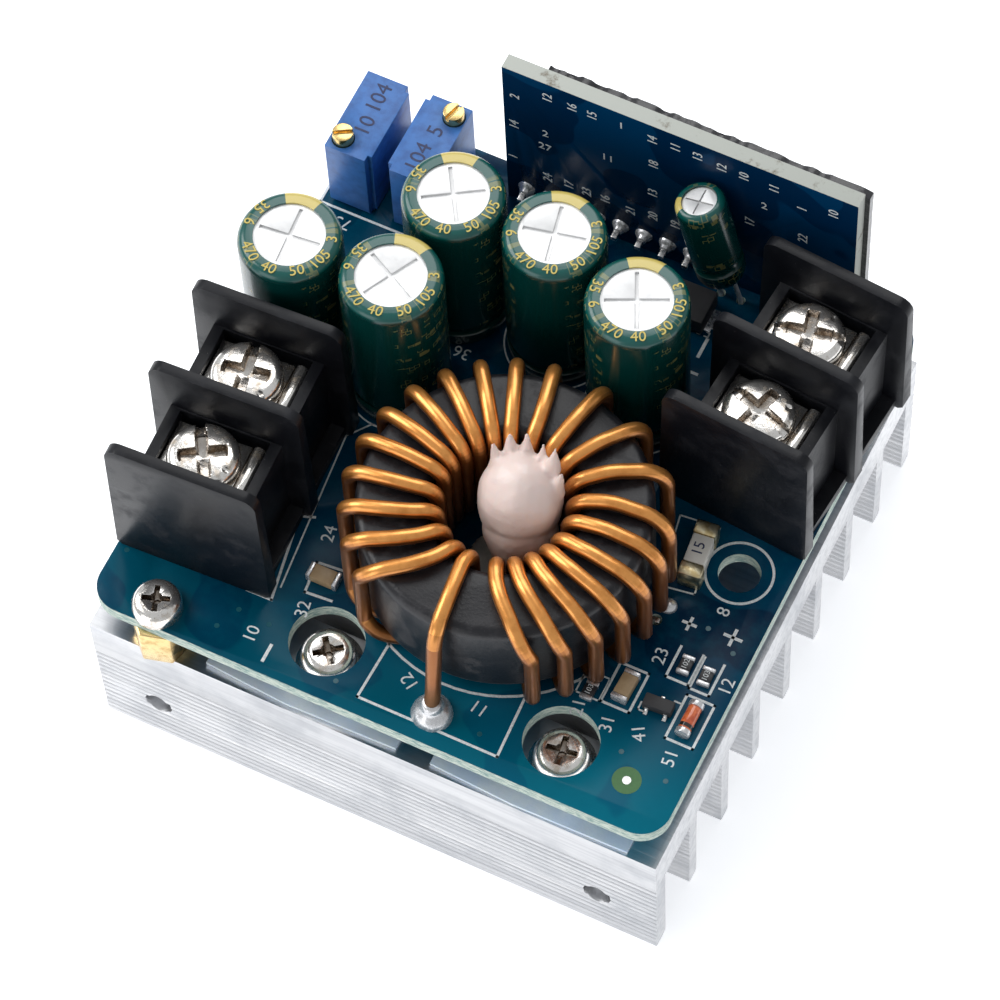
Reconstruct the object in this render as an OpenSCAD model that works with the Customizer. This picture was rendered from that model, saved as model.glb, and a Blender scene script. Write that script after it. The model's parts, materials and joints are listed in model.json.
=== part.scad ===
// Step-down (buck) converter module: a finned heat sink carries a circuit board on hex standoffs.
// The board holds a toroidal inductor, five large capacitors, two screw terminal blocks, two
// multi-turn trimmers and an upright control board. All sizes are in millimetres.
// The origin is the middle of the heat sink's underside, +Z is up and +Y points to the back.

/* [Heat sink] */
// Width of the heat sink, along its fins
sink_w = 60; // [56:1:70]
// Depth of the heat sink, across its fins
sink_d = 60; // [56:1:70]
// Height of the heat sink
sink_h = 18.4; // [15:0.2:26]
// Thickness of the plate that the fins hang from
base_t = 5.4; // [5:0.1:7]
// Number of fins
fin_count = 9; // [7:1:10]
// Thickness of an inner fin
fin_t = 1.6; // [1.2:0.1:2.2]
// Thickness of the two outer fins
outer_fin_t = 2.1; // [1.6:0.1:3]
// Spacing of the fine ribs on the fins
rib_pitch = 0.9; // [0.6:0.1:1.6]
// Depth of the fine ribs
rib_depth = 0.15; // [0.05:0.05:0.25]
// Diameter of the two threaded holes in the front face
side_hole_d = 2.9; // [2.4:0.1:3.4]
// Distance of those holes from the sides of the heat sink
side_hole_inset = 6.3; // [5:0.1:9]
// Height of those holes above the fin tips
side_hole_z = 6.4; // [4:0.1:9]

/* [Circuit board] */
// Width of the board
board_w = 59.7; // [58:0.1:66]
// Depth of the board
board_l = 60.6; // [60:0.1:66]
// Thickness of the board
board_t = 1.6; // [1:0.1:2.4]
// Radius of the board's corners
board_r = 3; // [1:0.5:4]
// Length of the hex standoffs, which is the gap under the board
standoff_h = 5; // [5:0.1:8]
// Width of the hex standoffs across their flats
standoff_af = 5; // [4.5:0.1:6]
// Diameter of the openings over the power package screws
access_d = 7.3; // [6.8:0.1:8]
// Diameter of the free mounting hole
mount_hole_d = 4.1; // [3.2:0.1:5]

/* [Screws] */
// Shank diameter of the M3 screws
screw_d = 2.9; // [2.4:0.1:3]
// Head diameter of the M3 screws that hold the board
screw_head_d = 4.9; // [4.6:0.1:5.6]
// Head diameter of the M3 screws that hold the power packages
package_head_d = 5.4; // [4.6:0.1:5.6]
// Head height of the M3 screws
screw_head_h = 1.9; // [1.5:0.1:2.2]
// Radial clearance of screws, pins and wires in their holes
clear = 0.15; // [0.1:0.05:0.2]

/* [Inductor] */
// Outer diameter of the ring core
core_od = 28; // [25:0.2:29]
// Inner diameter of the ring core
core_id = 14.4; // [14:0.1:15.5]
// Height of the ring core
core_h = 10.6; // [8:0.2:13]
// Diameter of the enamelled wire
wire_d = 1.5; // [1.2:0.05:1.55]
// Number of turns
turns = 21; // [16:1:21]
// Gap between the wire and the core
wire_gap = 0.15; // [0.12:0.01:0.2]
// Radius of the wire's centreline where it bends round the core
bend_r = 1.9; // [1.6:0.1:2.2]

/* [Capacitors] */
// Diameter of a large capacitor over its sleeve
cap_d = 10; // [8:0.1:10.2]
// Height of a large capacitor
cap_h = 20; // [14:0.5:25]
// Thickness of the plastic sleeve
sleeve_t = 0.2; // [0.15:0.05:0.3]
// Diameter of the bare metal disc on a large capacitor's top
cap_disc_d = 6.9; // [5:0.1:7.6]
// Diameter of the small capacitor
small_cap_d = 5; // [4:0.1:5.2]
// Height of the small capacitor
small_cap_h = 11.2; // [9:0.2:13]

/* [Terminal blocks] */
// Distance between neighbouring screws
pitch = 9.5; // [9.5:0.1:10.2]
// Length of a block's partition walls
wall_l = 16; // [14:0.2:17]
// Height of a block's partition walls
wall_h = 18.1; // [17:0.1:24]
// Thickness of a block's partition walls at the board
wall_t = 1.6; // [1.2:0.1:1.9]
// Thickness of a block's partition walls at their top
wall_top_t = 1.1; // [0.9:0.1:1.9]
// Width of a block's body between its long faces
block_w = 11.5; // [10.8:0.1:12.5]
// Height of a block's body
block_h = 12.3; // [11.5:0.1:14]
// Depth of the pocket that the clamp plate lies in
pocket_depth = 2.7; // [2:0.1:3]
// Diameter of a terminal screw's head
clamp_head_d = 6.2; // [5.4:0.1:6.4]
// Height of a terminal screw's head
clamp_head_h = 2.3; // [1.8:0.1:2.8]
// Shank diameter of a terminal screw
clamp_screw_d = 3.4; // [3:0.1:3.6]
// Thickness of a clamp plate
plate_t = 1; // [0.8:0.1:1.2]

/* [Trimmers] */
// Width of a trimmer
trim_w = 4.8; // [4.5:0.1:5]
// Length of a trimmer
trim_l = 9.5; // [9:0.1:9.9]
// Height of a trimmer
trim_h = 10; // [8:0.1:12]
// Diameter of a trimmer's adjusting screw
trim_screw_d = 2.1; // [1.8:0.1:2.3]

/* [Control board] */
// Width of the upright control board
ctrl_w = 36.9; // [34:0.1:38]
// Height of the upright control board
ctrl_h = 22.9; // [20:0.1:28]
// Number of pins that join it to the main board
ctrl_pins = 8; // [6:1:8]

/* [Hidden] */
$fn = 48;
eps = 0.01;
cut = 1;                                // how far a cutting tool stands clear of what it cuts
pin_pitch = 2.54;                       // spacing of pins on component rows
tail = 1.2;                             // length of a pin below the board

sink_x = sink_w / 2;
sink_y = sink_d / 2;
fin_tip = 0.3;                          // bevel on the fin tips
under_z = sink_h - base_t;              // underside of the plate between the fins
fin_step = (sink_d - outer_fin_t) / (fin_count - 1);

board_x = sink_x + 0.25 - board_w / 2;  // middle of the board, set from the heat sink's right side
board_z0 = sink_h + standoff_h;         // underside of the board
board_z = board_z0 + board_t;           // top of the board
screw_bore_d = screw_d + 2 * clear;
stud_l = 4.6;                           // how far a standoff's stud goes into the heat sink

pad_t = 0.4;                            // thermal pad under a power package
tab_t = 1.3;                            // metal tab of a power package
tab_w = 10;
tab_l = 15.6;
tab_hole_d = 3.7;
tab_hole_inset = 2.8;
package_l = 9.2;                        // moulded part of a power package
package_h = 3.1;
washer_t = 0.5;
spring_washer_t = 0.6;
package_z = sink_h + pad_t;

// Layout on the board, measured from the heat sink's middle
ctrl_x = 5.65;
ctrl_y = board_l / 2 - 3.45;            // front face of the control board
front_post = [-sink_x + 7.25, -sink_y + 1.75];
back_post = [-6.4, ctrl_y - 4.55];
post_turn = 15;
package_y = -sink_y + 5.35;
package_xs = [-6.65, 17.8];
free_hole = [sink_x - 4.6, -1.65];
coil = [5.2, -10];
cap_places = [[-23.4, 3.2], [-12.8, 3.25], [-11.5, 13.75], [-1.02, 13.85], [9.05, 10.6]];
cap_turns = [5, -28, 32, 12, 25];
small_cap_foot = [11.6, ctrl_y - 2.85, 7];
small_cap_lean = -12.5;
small_cap_holes = [[10.9, ctrl_y - 1.35], [13, ctrl_y - 1.35]];
left_block = [-21.95, -13.1, 2.5];
right_block = [23.4, 13, -5];
trimmer_1 = [-28.45, 18.9];
trimmer_2 = [-21.95, 19.05];
ctrl_t = 1.6;
ctrl_pin_x = ctrl_x - ctrl_w / 2 + 2.1;
ctrl_pin_z = 2.6;
ctrl_leg_y = ctrl_y + ctrl_t + 0.75;
ctrl_pin_w = 0.6;
header_t = 1.6;                         // strip that holds the control board's pins
header_h = 2;

wire_r = wire_d / 2;
coil_r_in = core_id / 2 - wire_gap - wire_r;
coil_r_out = core_od / 2 + wire_gap + wire_r;
coil_z_lo = board_z + 0.2 + wire_r;
core_z = coil_z_lo + wire_r + wire_gap;
coil_z_hi = core_z + core_h + wire_gap + wire_r;
core_round = bend_r - wire_r - wire_gap;
wire_hole_d = wire_d + 2 * clear + 0.2;
lead_foot = [17.1, -88.5];              // radius and angle of the first lead about the coil's axis

lead_d = 0.6;                           // capacitor leads
cap_lead_gap = 5;
can_d = cap_d - 2 * sleeve_t - 0.1;
cap_seat = 0.2;                         // height of a capacitor's sleeve above the board

contact_t = 0.9;                        // contact strip below a clamp plate
ledge_z = block_h - pocket_depth;       // ledge that the contact lies on
rim_t = 1.1;                            // rims of the pocket
bay_w = pitch - wall_t;
plate_l = block_w - 2 * rim_t - 0.3;
plate_w = bay_w - 1.3;
clamp_bore_d = clamp_screw_d + 0.18;
lip_r = 0.65;
clamp_x = -0.4;                         // screw's place along the walls
plate_z = ledge_z + contact_t;
clamp_pin = [0.8, 2.4];                 // section of a terminal's pin
clamp_pin_x = -plate_l / 2 + 0.4;

trim_screw_inset = [1.3, 1.5];
trim_screw_up = 1.1;                    // how far the adjusting screw stands up
trim_screw_in = 1.6;
trim_foot = 0.4;
trim_pin_inset = 1.1;

// ---------------------------------------------------------------- shared shapes

// Flat plate with rounded corners, centred in X and Y
module rounded_plate(w, l, h, r) {
    linear_extrude(h) {
        square([w - 2 * r, l], center = true);
        square([w, l - 2 * r], center = true);
        for (x = [-1, 1], y = [-1, 1]) translate([x * (w / 2 - r), y * (l / 2 - r)]) circle(r);
    }
}

// Block centred in X and Y that stands on z = 0
module block(size) {
    translate([-size[0] / 2, -size[1] / 2, 0]) cube(size);
}

// Cross recess of a screw head, cut down from z = 0
module cross_recess(d, depth) {
    for (a = [0, 90]) rotate(a) translate([-d / 2, -d / 10, -depth]) cube([d, d / 5, depth + cut]);
    translate([0, 0, -depth * 1.25]) cylinder(h = depth * 1.25 + cut, d1 = d * 0.25, d2 = d * 0.62);
}

// Pan head that stands on z = 0
module pan_head(d, h) {
    r = d / 2;
    side = h * 0.45;
    arc = [for (a = [0 : 15 : 75]) [r * (0.62 + 0.38 * cos(a)), side + (h - side) * sin(a)]];
    rotate_extrude() polygon(concat([[0, 0], [r, 0]], arc, [[r * 0.62, h], [0, h]]));
}

// M3 screw with its head's underside at z = 0 and its shank below
module pan_screw(head_d, shank_l, spin) {
    rotate(spin) {
        difference() {
            pan_head(head_d, screw_head_h);
            translate([0, 0, screw_head_h]) cross_recess(head_d * 0.56, screw_head_h * 0.6);
        }
        translate([0, 0, -shank_l]) cylinder(h = shank_l + eps, d = screw_d);
    }
}

// Round hole through the board
module board_hole(p, d) {
    translate([p[0], p[1], board_z0 - cut]) cylinder(h = board_t + 2 * cut, d = d);
}

// ---------------------------------------------------------------- heat sink

// Front and back faces of fin k
function fin_front(k) = k == 0 ? -sink_y : k == fin_count - 1 ? sink_y - outer_fin_t
    : -sink_y + outer_fin_t / 2 + k * fin_step - fin_t / 2;
function fin_back(k) = k == 0 ? -sink_y + outer_fin_t : k == fin_count - 1 ? sink_y
    : fin_front(k) + fin_t;

// Ribbed face at depth y that looks towards side, from height za to height zb
function ribs(y, side, za, zb) =
    let (n = max(1, round(abs(zb - za) / rib_pitch)), p = (zb - za) / n)
    [for (i = [0 : n - 1]) each [[y, za + i * p], [y - side * rib_depth, za + (i + 0.5) * p]]];

// One fin: down its front face, round its tip and up its back face, ribbed where it faces outwards
function fin(k) = concat(
    k == 0 ? ribs(fin_front(k), -1, under_z, fin_tip) : [[fin_front(k), under_z]],
    [[fin_front(k), fin_tip], [fin_front(k) + fin_tip, 0], [fin_back(k) - fin_tip, 0]],
    k == fin_count - 1 ? ribs(fin_back(k), 1, fin_tip, under_z) : [[fin_back(k), fin_tip]],
    [[fin_back(k), under_z]]);

module heatsink() {
    outline = concat([for (k = [0 : fin_count - 1]) each fin(k)],
        [[sink_y, sink_h], [-sink_y, sink_h]]);
    color([0.86, 0.87, 0.88]) difference() {
        rotate([90, 0, 90]) translate([0, 0, -sink_x]) linear_extrude(sink_w) polygon(outline);
        for (s = [-1, 1])
            translate([s * (sink_x - side_hole_inset), -sink_y - cut, side_hole_z])
                rotate([-90, 0, 0]) cylinder(h = outer_fin_t + 2 * cut, d = side_hole_d);
        for (p = [front_post, back_post])
            translate([p[0], p[1], sink_h - stud_l - 0.3]) cylinder(h = stud_l + cut, d = screw_bore_d);
        for (x = package_xs)
            translate([x, package_y, under_z - cut]) cylinder(h = base_t + 2 * cut, d = screw_bore_d);
    }
}

// ---------------------------------------------------------------- boards and their fasteners

module circuit_board() {
    color([0.02, 0.33, 0.45]) difference() {
        translate([board_x, 0, board_z0]) rounded_plate(board_w, board_l, board_t, board_r);
        for (x = package_xs) board_hole([x, package_y], access_d);
        board_hole(free_hole, mount_hole_d);
        for (p = [front_post, back_post]) board_hole(p, screw_bore_d);
        for (p = cap_places, s = [-1, 1])
            board_hole(p + s * [cap_lead_gap / 2, 0], lead_d + 2 * clear);
        for (x = package_xs, k = [-1 : 1])
            board_hole([x + k * pin_pitch, package_lead_y()], 1.2);
        for (p = small_cap_holes) board_hole(p, 0.9);
        board_hole(coil + lead_foot[0] * [cos(lead_foot[1]), sin(lead_foot[1])], wire_hole_d);
        board_hole(coil + coil_r_in * [cos(in_a(turns - 1)), sin(in_a(turns - 1))], wire_hole_d);
        for (b = [left_block, right_block], s = [-1, 1])
            translate([b[0], b[1], 0]) rotate(b[2]) board_hole([clamp_pin_x, s * pitch / 2], 3);
        for (p = trimmer_pin_places()) board_hole(p, 0.9);
        for (k = [0 : ctrl_pins - 1]) board_hole([ctrl_pin_x + k * pin_pitch, ctrl_leg_y], 1.1);
    }
}

// Hex standoff with a threaded bore from the top and a stud below
module standoff() {
    difference() {
        union() {
            cylinder(h = standoff_h, d = standoff_af / cos(30), $fn = 6);
            translate([0, 0, -stud_l]) cylinder(h = stud_l + eps, d = screw_d);
        }
        translate([0, 0, 0.6]) cylinder(h = standoff_h, d = screw_bore_d);
    }
}

module standoffs() {
    color([0.81, 0.65, 0.35]) for (p = [front_post, back_post])
        translate([p[0], p[1], sink_h]) rotate(post_turn) standoff();
}

module board_screws() {
    color([0.8, 0.78, 0.74]) for (i = [0, 1], p = [[front_post, back_post][i]])
        translate([p[0], p[1], board_z])
            pan_screw(screw_head_d, board_t + standoff_h - 1.2, 20 + 50 * i);
}

// ---------------------------------------------------------------- power packages under the board

function package_lead_y() = package_y - tab_hole_inset + tab_l + 2.4;

// Pads with one corner cut off as the sheets are in the gap, one under each package
module thermal_pads() {
    pad_w = 20.4;
    pad_l = 21;
    turn = [-2, 1.2];
    color([0.66, 0.76, 0.9]) for (i = [0, 1])
        translate([package_xs[i] - 0.6 - 0.7 * i, package_y + 6.2, sink_h]) difference() {
            rotate(turn[i]) block([pad_w, pad_l, pad_t]);
            translate([0.6 + 0.7 * i, -6.2, -cut]) cylinder(h = pad_t + 2 * cut, d = screw_bore_d);
        }
}

// Tab with its mounting hole at the origin
module power_tab() {
    difference() {
        translate([-tab_w / 2, -tab_hole_inset, 0]) cube([tab_w, tab_l, tab_t]);
        translate([0, 0, -cut]) cylinder(h = tab_t + 2 * cut, d = tab_hole_d);
        for (s = [-1, 1]) translate([s * tab_w / 2, 3.6, -cut]) cylinder(h = tab_t + 2 * cut, d = 1.2);
    }
}

module power_tabs() {
    color([0.72, 0.72, 0.72]) for (x = package_xs) translate([x, package_y, package_z]) power_tab();
}

module power_bodies() {
    draft = 0.3;
    outline = [[-tab_w / 2, 0], [tab_w / 2, 0], [tab_w / 2 - draft, package_h],
        [-tab_w / 2 + draft, package_h]];
    color([0.1, 0.1, 0.11]) for (x = package_xs)
        translate([x, package_y - tab_hole_inset + tab_l, package_z + tab_t])
            rotate([90, 0, 0]) linear_extrude(package_l) polygon(outline);
}

// Three leads of a package, which run back and turn up through the board
module power_leads() {
    lead_z = package_z + tab_t + 1;
    y0 = package_y - tab_hole_inset + tab_l;
    color([0.75, 0.75, 0.76]) for (x = package_xs, k = [-1 : 1]) translate([x + k * pin_pitch, 0, 0]) {
        translate([-0.4, y0, lead_z]) cube([0.8, package_lead_y() - y0 + 0.25, 0.5]);
        translate([-0.4, package_lead_y() - 0.25, lead_z]) cube([0.8, 0.5, board_z + 0.1 - lead_z]);
    }
}

module package_washers() {
    z = package_z + tab_t;
    color([0.78, 0.77, 0.75]) for (x = package_xs) translate([x, package_y, z]) {
        difference() {
            cylinder(h = washer_t, d = 6.6);
            translate([0, 0, -cut]) cylinder(h = washer_t + 2 * cut, d = screw_bore_d);
        }
        translate([0, 0, washer_t]) difference() {
            cylinder(h = spring_washer_t, d = 5.6);
            translate([0, 0, -cut]) cylinder(h = spring_washer_t + 2 * cut, d = screw_bore_d);
            translate([0, -0.3, -cut]) cube([4, 0.6, spring_washer_t + 2 * cut]);
        }
    }
}

module package_screws() {
    seat = package_z + tab_t + washer_t + spring_washer_t;
    color([0.8, 0.78, 0.74]) for (i = [0, 1])
        translate([package_xs[i], package_y, seat])
            pan_screw(package_head_d, seat - under_z - 0.2, [38, 8][i]);
}

// ---------------------------------------------------------------- inductor

module inductor_core() {
    r0 = core_id / 2;
    r1 = core_od / 2;
    c = core_round;
    arc = function (x, y, a) [x + c * cos(a), y + c * sin(a)];
    outline = concat(
        [for (a = [-90 : 15 : 0]) arc(r1 - c, c, a)],
        [for (a = [0 : 15 : 90]) arc(r1 - c, core_h - c, a)],
        [for (a = [90 : 15 : 180]) arc(r0 + c, core_h - c, a)],
        [for (a = [180 : 15 : 270]) arc(r0 + c, c, a)]);
    color([0.17, 0.17, 0.19]) translate([coil[0], coil[1], core_z]) rotate_extrude() polygon(outline);
}

// Angles at which turn i crosses the outside and the inside of the ring. The turns lie in groups:
// each pair gives how many twentieths of the winding a group takes and the degrees from one to the next.
out_steps = [[10, 13.5], [4, 20.75], [6, 11.7]];
in_steps = [[4, 18.25], [5, 13.8], [7, 17.7], [4, 14.5]];
function stepped(start, steps, i, k = 0) = k == len(steps) ? start
    : stepped(start - steps[k][1] * min(steps[k][0], max(i, 0)), steps, i - steps[k][0], k + 1);
function out_a(i) = stepped(-127, out_steps, i * 20 / (turns - 1));
function in_a(i) = stepped(-107, in_steps, i * 20 / (turns - 1));

// Point at radius r, angle a and height z about the coil's axis
function about_coil(r, a, z) = [coil[0] + r * cos(a), coil[1] + r * sin(a), z];

// Crossing over or under the core at height z: out from r = inside (t = 0) to r = outside (t = 1)
function cross_r(t) = coil_r_in + bend_r + t * (coil_r_out - coil_r_in - 2 * bend_r);
function cross_a(t, a_in, a_out) = let (f = (cross_r(t) - coil_r_in) / (coil_r_out - coil_r_in))
    a_in + (a_out - a_in) * pow(f, 1.6);
function crossing(z, a_in, a_out, ts) =
    [for (t = ts) about_coil(cross_r(t), cross_a(t, a_in, a_out), z)];

// Bend of the wire at one edge of the core: up = 1 at its top, side = 1 on its outside
function bend(a, a_far, side, up, angles) =
    let (rc = side > 0 ? coil_r_out - bend_r : coil_r_in + bend_r,
        zc = up > 0 ? coil_z_hi - bend_r : coil_z_lo + bend_r)
    [for (b = angles)
        about_coil(rc + side * bend_r * cos(b), a + (a_far - a) * (b / 90), zc + up * bend_r * sin(b))];

// One turn: up the outside, over the top, down the inside and under the core to the next turn
function turn(i) =
    let (ao = out_a(i), ai = in_a(i), next = out_a(i + 1),
        top_o = cross_a(1, ai, ao), top_i = cross_a(0, ai, ao),
        low_o = cross_a(1, ai, next), low_i = cross_a(0, ai, next))
    concat(
        bend(ao, top_o, 1, 1, [0, 30, 60]),
        crossing(coil_z_hi, ai, ao, [1, 0.5, 0]),
        bend(ai, top_i, -1, 1, [60, 30, 0]),
        i == turns - 1 ? [] : concat(
            bend(ai, low_i, -1, -1, [0, 30, 60]),
            crossing(coil_z_lo, ai, next, [0, 0.5, 1]),
            bend(next, low_o, 1, -1, [60, 30, 0])));

// First lead: up from the board, over the top and down the hole. Last lead: straight down the hole.
first_in = -93;
function first_lead() = let (a = lead_foot[1], ao = out_a(0), low_i = cross_a(0, first_in, ao))
    concat(
        [about_coil(lead_foot[0], a, board_z0 - tail), about_coil(lead_foot[0], a, board_z + 1.6),
         about_coil(lead_foot[0] - 0.5, a, board_z + 3.6),
         about_coil(coil_r_out + 0.7, a, coil_z_hi - 2.2),
         about_coil(coil_r_out, a - 0.2, coil_z_hi - 0.8),
         about_coil(coil_r_out - 1.1, a - 0.5, coil_z_hi + 0.05),
         about_coil(coil_r_in + 4, a - 2.5, coil_z_hi)],
        [about_coil(coil_r_in + bend_r, first_in + 0.3, coil_z_hi)],
        bend(first_in, first_in, -1, 1, [60, 30, 0]),
        bend(first_in, low_i, -1, -1, [0, 30, 60]),
        crossing(coil_z_lo, first_in, ao, [0, 0.5, 1]),
        bend(ao, cross_a(1, first_in, ao), 1, -1, [60, 30, 0]));
function last_lead() = [about_coil(coil_r_in, in_a(turns - 1), board_z0 - tail)];

// Section of the wire at point i of its path, kept square to the path
sides = 8;
function unit(v) = v / norm(v);
function ring(path, i) =
    let (n = len(path), d = unit(path[min(i + 1, n - 1)] - path[max(i - 1, 0)]),
        p = path[i], around = unit([-(p[1] - coil[1]), p[0] - coil[0], 0]),
        b = unit(around - (around * d) * d), c = cross(d, b))
    [for (k = [0 : sides - 1]) p + wire_r * (b * cos(360 * k / sides) + c * sin(360 * k / sides))];

module inductor_winding() {
    path = concat(first_lead(), [for (i = [0 : turns - 1]) each turn(i)], last_lead());
    n = len(path);
    points = [for (i = [0 : n - 1]) each ring(path, i)];
    walls = [for (i = [0 : n - 2], k = [0 : sides - 1])
        let (a = i * sides + k, b = i * sides + (k + 1) % sides)
        each [[a, a + sides, b], [b, a + sides, b + sides]]];
    ends = [[for (k = [0 : sides - 1]) k], [for (k = [sides - 1 : -1 : 0]) (n - 1) * sides + k]];
    color([0.78, 0.45, 0.12]) polyhedron(points, concat(walls, ends));
}

// Lump of silicone that fixes the coil, standing on the board in the middle of the ring
module silicone_blob() {
    r = 3.3;
    top = coil_z_hi + wire_r + 1.3 - board_z;
    waist = top * 0.62;
    low = [for (a = [0 : 15 : 75]) [2.3 + (r - 2.3) * sin(a), waist * (1 - cos(a))]];
    high = [for (a = [0 : 15 : 75]) [r * cos(a), waist + (top - waist) * sin(a)]];
    color([0.9, 0.84, 0.82]) translate([coil[0] + 0.8, coil[1] + 1.3, board_z])
        rotate_extrude() polygon(concat([[0, 0]], low, high, [[0, top]]));
}

// ---------------------------------------------------------------- capacitors

// Can with its crimped neck, its vent cross on top and its two leads below
module can(d, h, lead_gap, lead_l) {
    r = d / 2;
    neck = [for (a = [0 : 30 : 180]) [r - 0.45 * sin(a), 2.6 - 0.8 * cos(a)]];
    difference() {
        rotate_extrude() polygon(concat([[0, 0.3], [r - 0.5, 0.3], [r, 0.8]], neck,
            [[r, h - 0.7], [r - 0.3, h - 0.25], [r - 0.6, h - 0.05], [0, h - 0.05]]));
        for (a = [0, 90]) rotate(a)
            translate([-d * 0.32, -d * 0.02, h - 0.3]) cube([d * 0.64, d * 0.04, cut]);
    }
    for (s = [-1, 1]) translate([s * lead_gap / 2, 0, -lead_l]) cylinder(h = lead_l + 0.4, d = lead_d);
}

// Shrunk sleeve that follows the can and turns in over its top
module sleeve(d, h, disc_d) {
    r = d / 2;
    t = sleeve_t;
    shoulder = min(0.9, (d - disc_d) / 2 - 0.1);
    outer_neck = [for (a = [0 : 30 : 180]) [r - 0.35 * sin(a), 2.6 - 0.7 * cos(a)]];
    inner_neck = [for (a = [180 : -30 : 0]) [r - t - 0.35 * sin(a), 2.6 - 0.65 * cos(a)]];
    outer_top = [for (a = [0 : 15 : 90])
        [r - shoulder + shoulder * cos(a), h - shoulder + (shoulder + t) * sin(a)]];
    rotate_extrude() polygon(concat([[r - 0.7, 0], [r - 0.2, 0.1], [r, 0.7]], outer_neck, outer_top,
        [[disc_d / 2, h + t], [disc_d / 2, h], [r - t - 0.4, h], [r - t, h - 0.4]],
        inner_neck, [[r - t, 0.8], [r - t - 0.3, 0.25], [r - 0.7, 0.15]]));
}

// Small capacitor's own frame, which leans to one side
module at_small_cap() {
    translate([small_cap_foot[0], small_cap_foot[1], board_z + small_cap_foot[2]])
        rotate([0, small_cap_lean, 0]) children();
}

module capacitor_can(i) {
    color([0.88, 0.88, 0.88]) translate([cap_places[i][0], cap_places[i][1], board_z + cap_seat])
        union() {
            rotate(cap_turns[i]) can(can_d, cap_h, 0, 0);
            for (s = [-1, 1]) translate([s * cap_lead_gap / 2, 0, -cap_seat - board_t - tail])
                cylinder(h = cap_seat + board_t + tail + 0.5, d = lead_d);
        }
}

module capacitor_sleeve(i) {
    color([0.02, 0.33, 0.28]) translate([cap_places[i][0], cap_places[i][1], board_z + cap_seat])
        sleeve(cap_d, cap_h, cap_disc_d);
}

// Straight rod from p to q with round ends
module rod(p, q, d) {
    v = q - p;
    translate(p) rotate([0, acos(v[2] / norm(v)), atan2(v[1], v[0])]) cylinder(h = norm(v), d = d);
    translate(p) sphere(d = d + 0.06);
}

module small_capacitor_can() {
    d = 0.5;
    stub = 1.4;
    color([0.88, 0.88, 0.88]) {
        at_small_cap() can(small_cap_d - 2 * sleeve_t - 0.1, small_cap_h, 2, stub);
        for (i = [0, 1]) {
            x = i == 0 ? -1 : 1;
            knee = [small_cap_foot[0] + x * cos(small_cap_lean) - stub * sin(small_cap_lean),
                small_cap_foot[1],
                board_z + small_cap_foot[2] - stub * cos(small_cap_lean) - x * sin(small_cap_lean)];
            hole = [small_cap_holes[i][0], small_cap_holes[i][1], board_z];
            rod(knee, hole, d);
            translate([hole[0], hole[1], board_z0 - tail]) cylinder(h = board_t + tail, d = d);
            translate(hole) sphere(d = d + 0.06);
        }
    }
}

module small_capacitor_sleeve() {
    color([0.02, 0.33, 0.28]) at_small_cap() sleeve(small_cap_d, small_cap_h, 3.5);
}

// ---------------------------------------------------------------- terminal blocks

// Frame of a block: its middle on the board's top
module at_block(b) {
    translate([b[0], b[1], board_z]) rotate(b[2]) children();
}

// Partition wall with rounded top corners, centred on y = 0 and thinner and shorter at its top
module partition() {
    r = 1.4;
    foot = wall_l / 2;
    head = wall_l / 2 - 0.3;
    half = [[foot - 0.5, 0], [foot, 0.5], [head, wall_h - r], [head - r, wall_h]];
    other = [for (i = [3 : -1 : 0]) [-half[i][0], half[i][1]]];
    intersection() {
        rotate([90, 0, 0]) translate([0, 0, -wall_t]) linear_extrude(2 * wall_t) {
            polygon(concat(half, other));
            for (s = [-1, 1]) translate([s * (head - r), wall_h - r]) circle(r);
        }
        rotate([90, 0, 90]) translate([0, 0, -wall_l]) linear_extrude(2 * wall_l)
            polygon([[-wall_t / 2, 0], [wall_t / 2, 0], [wall_top_t / 2, wall_h], [-wall_top_t / 2, wall_h]]);
    }
}

module terminal_block() {
    flange_w = wall_l - 1.6;
    difference() {
        union() {
            block([block_w, 2 * pitch, block_h]);
            block([flange_w, 2 * pitch, 1.2]);
            for (k = [-1 : 1]) translate([0, k * pitch, 0]) partition();
        }
        for (s = [-1, 1]) translate([0, s * pitch / 2, 0]) {
            translate([0, 0, ledge_z]) block([block_w - 2 * rim_t, bay_w, wall_h]);
            translate([clamp_x, 0, 1.2]) cylinder(h = block_h, d = clamp_screw_d + 0.6);
            translate([clamp_pin_x, 0, -cut])
                block([clamp_pin[0] + 2 * clear, clamp_pin[1] + 2 * clear, block_h]);
        }
    }
}

// Contact strip of each way, bent down into a pin that goes through the board
module contacts() {
    for (s = [-1, 1]) translate([0, s * pitch / 2, 0]) difference() {
        union() {
            translate([0, 0, ledge_z]) block([plate_l, plate_w, contact_t]);
            translate([clamp_pin_x, 0, -board_t - tail])
                block([clamp_pin[0], clamp_pin[1], ledge_z + board_t + tail + eps]);
        }
        translate([clamp_x, 0, ledge_z - cut]) cylinder(h = contact_t + 2 * cut, d = clamp_bore_d);
    }
}

// Square clamp plate with a rolled lip along one side
module clamp_plate() {
    translate([0, 0, plate_z]) difference() {
        union() {
            block([plate_l, plate_w, plate_t]);
            translate([plate_l / 2 - lip_r, -plate_w / 2, plate_t]) rotate([-90, 0, 0])
                cylinder(h = plate_w, r = lip_r);
        }
        translate([clamp_x, 0, -cut]) cylinder(h = plate_t + 2 * cut, d = clamp_bore_d);
        translate([plate_l / 2 - 2 * lip_r - 0.12, -plate_w / 2 - cut, plate_t - 0.25])
            cube([0.24, plate_w + 2 * cut, 1]);
    }
}

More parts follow.
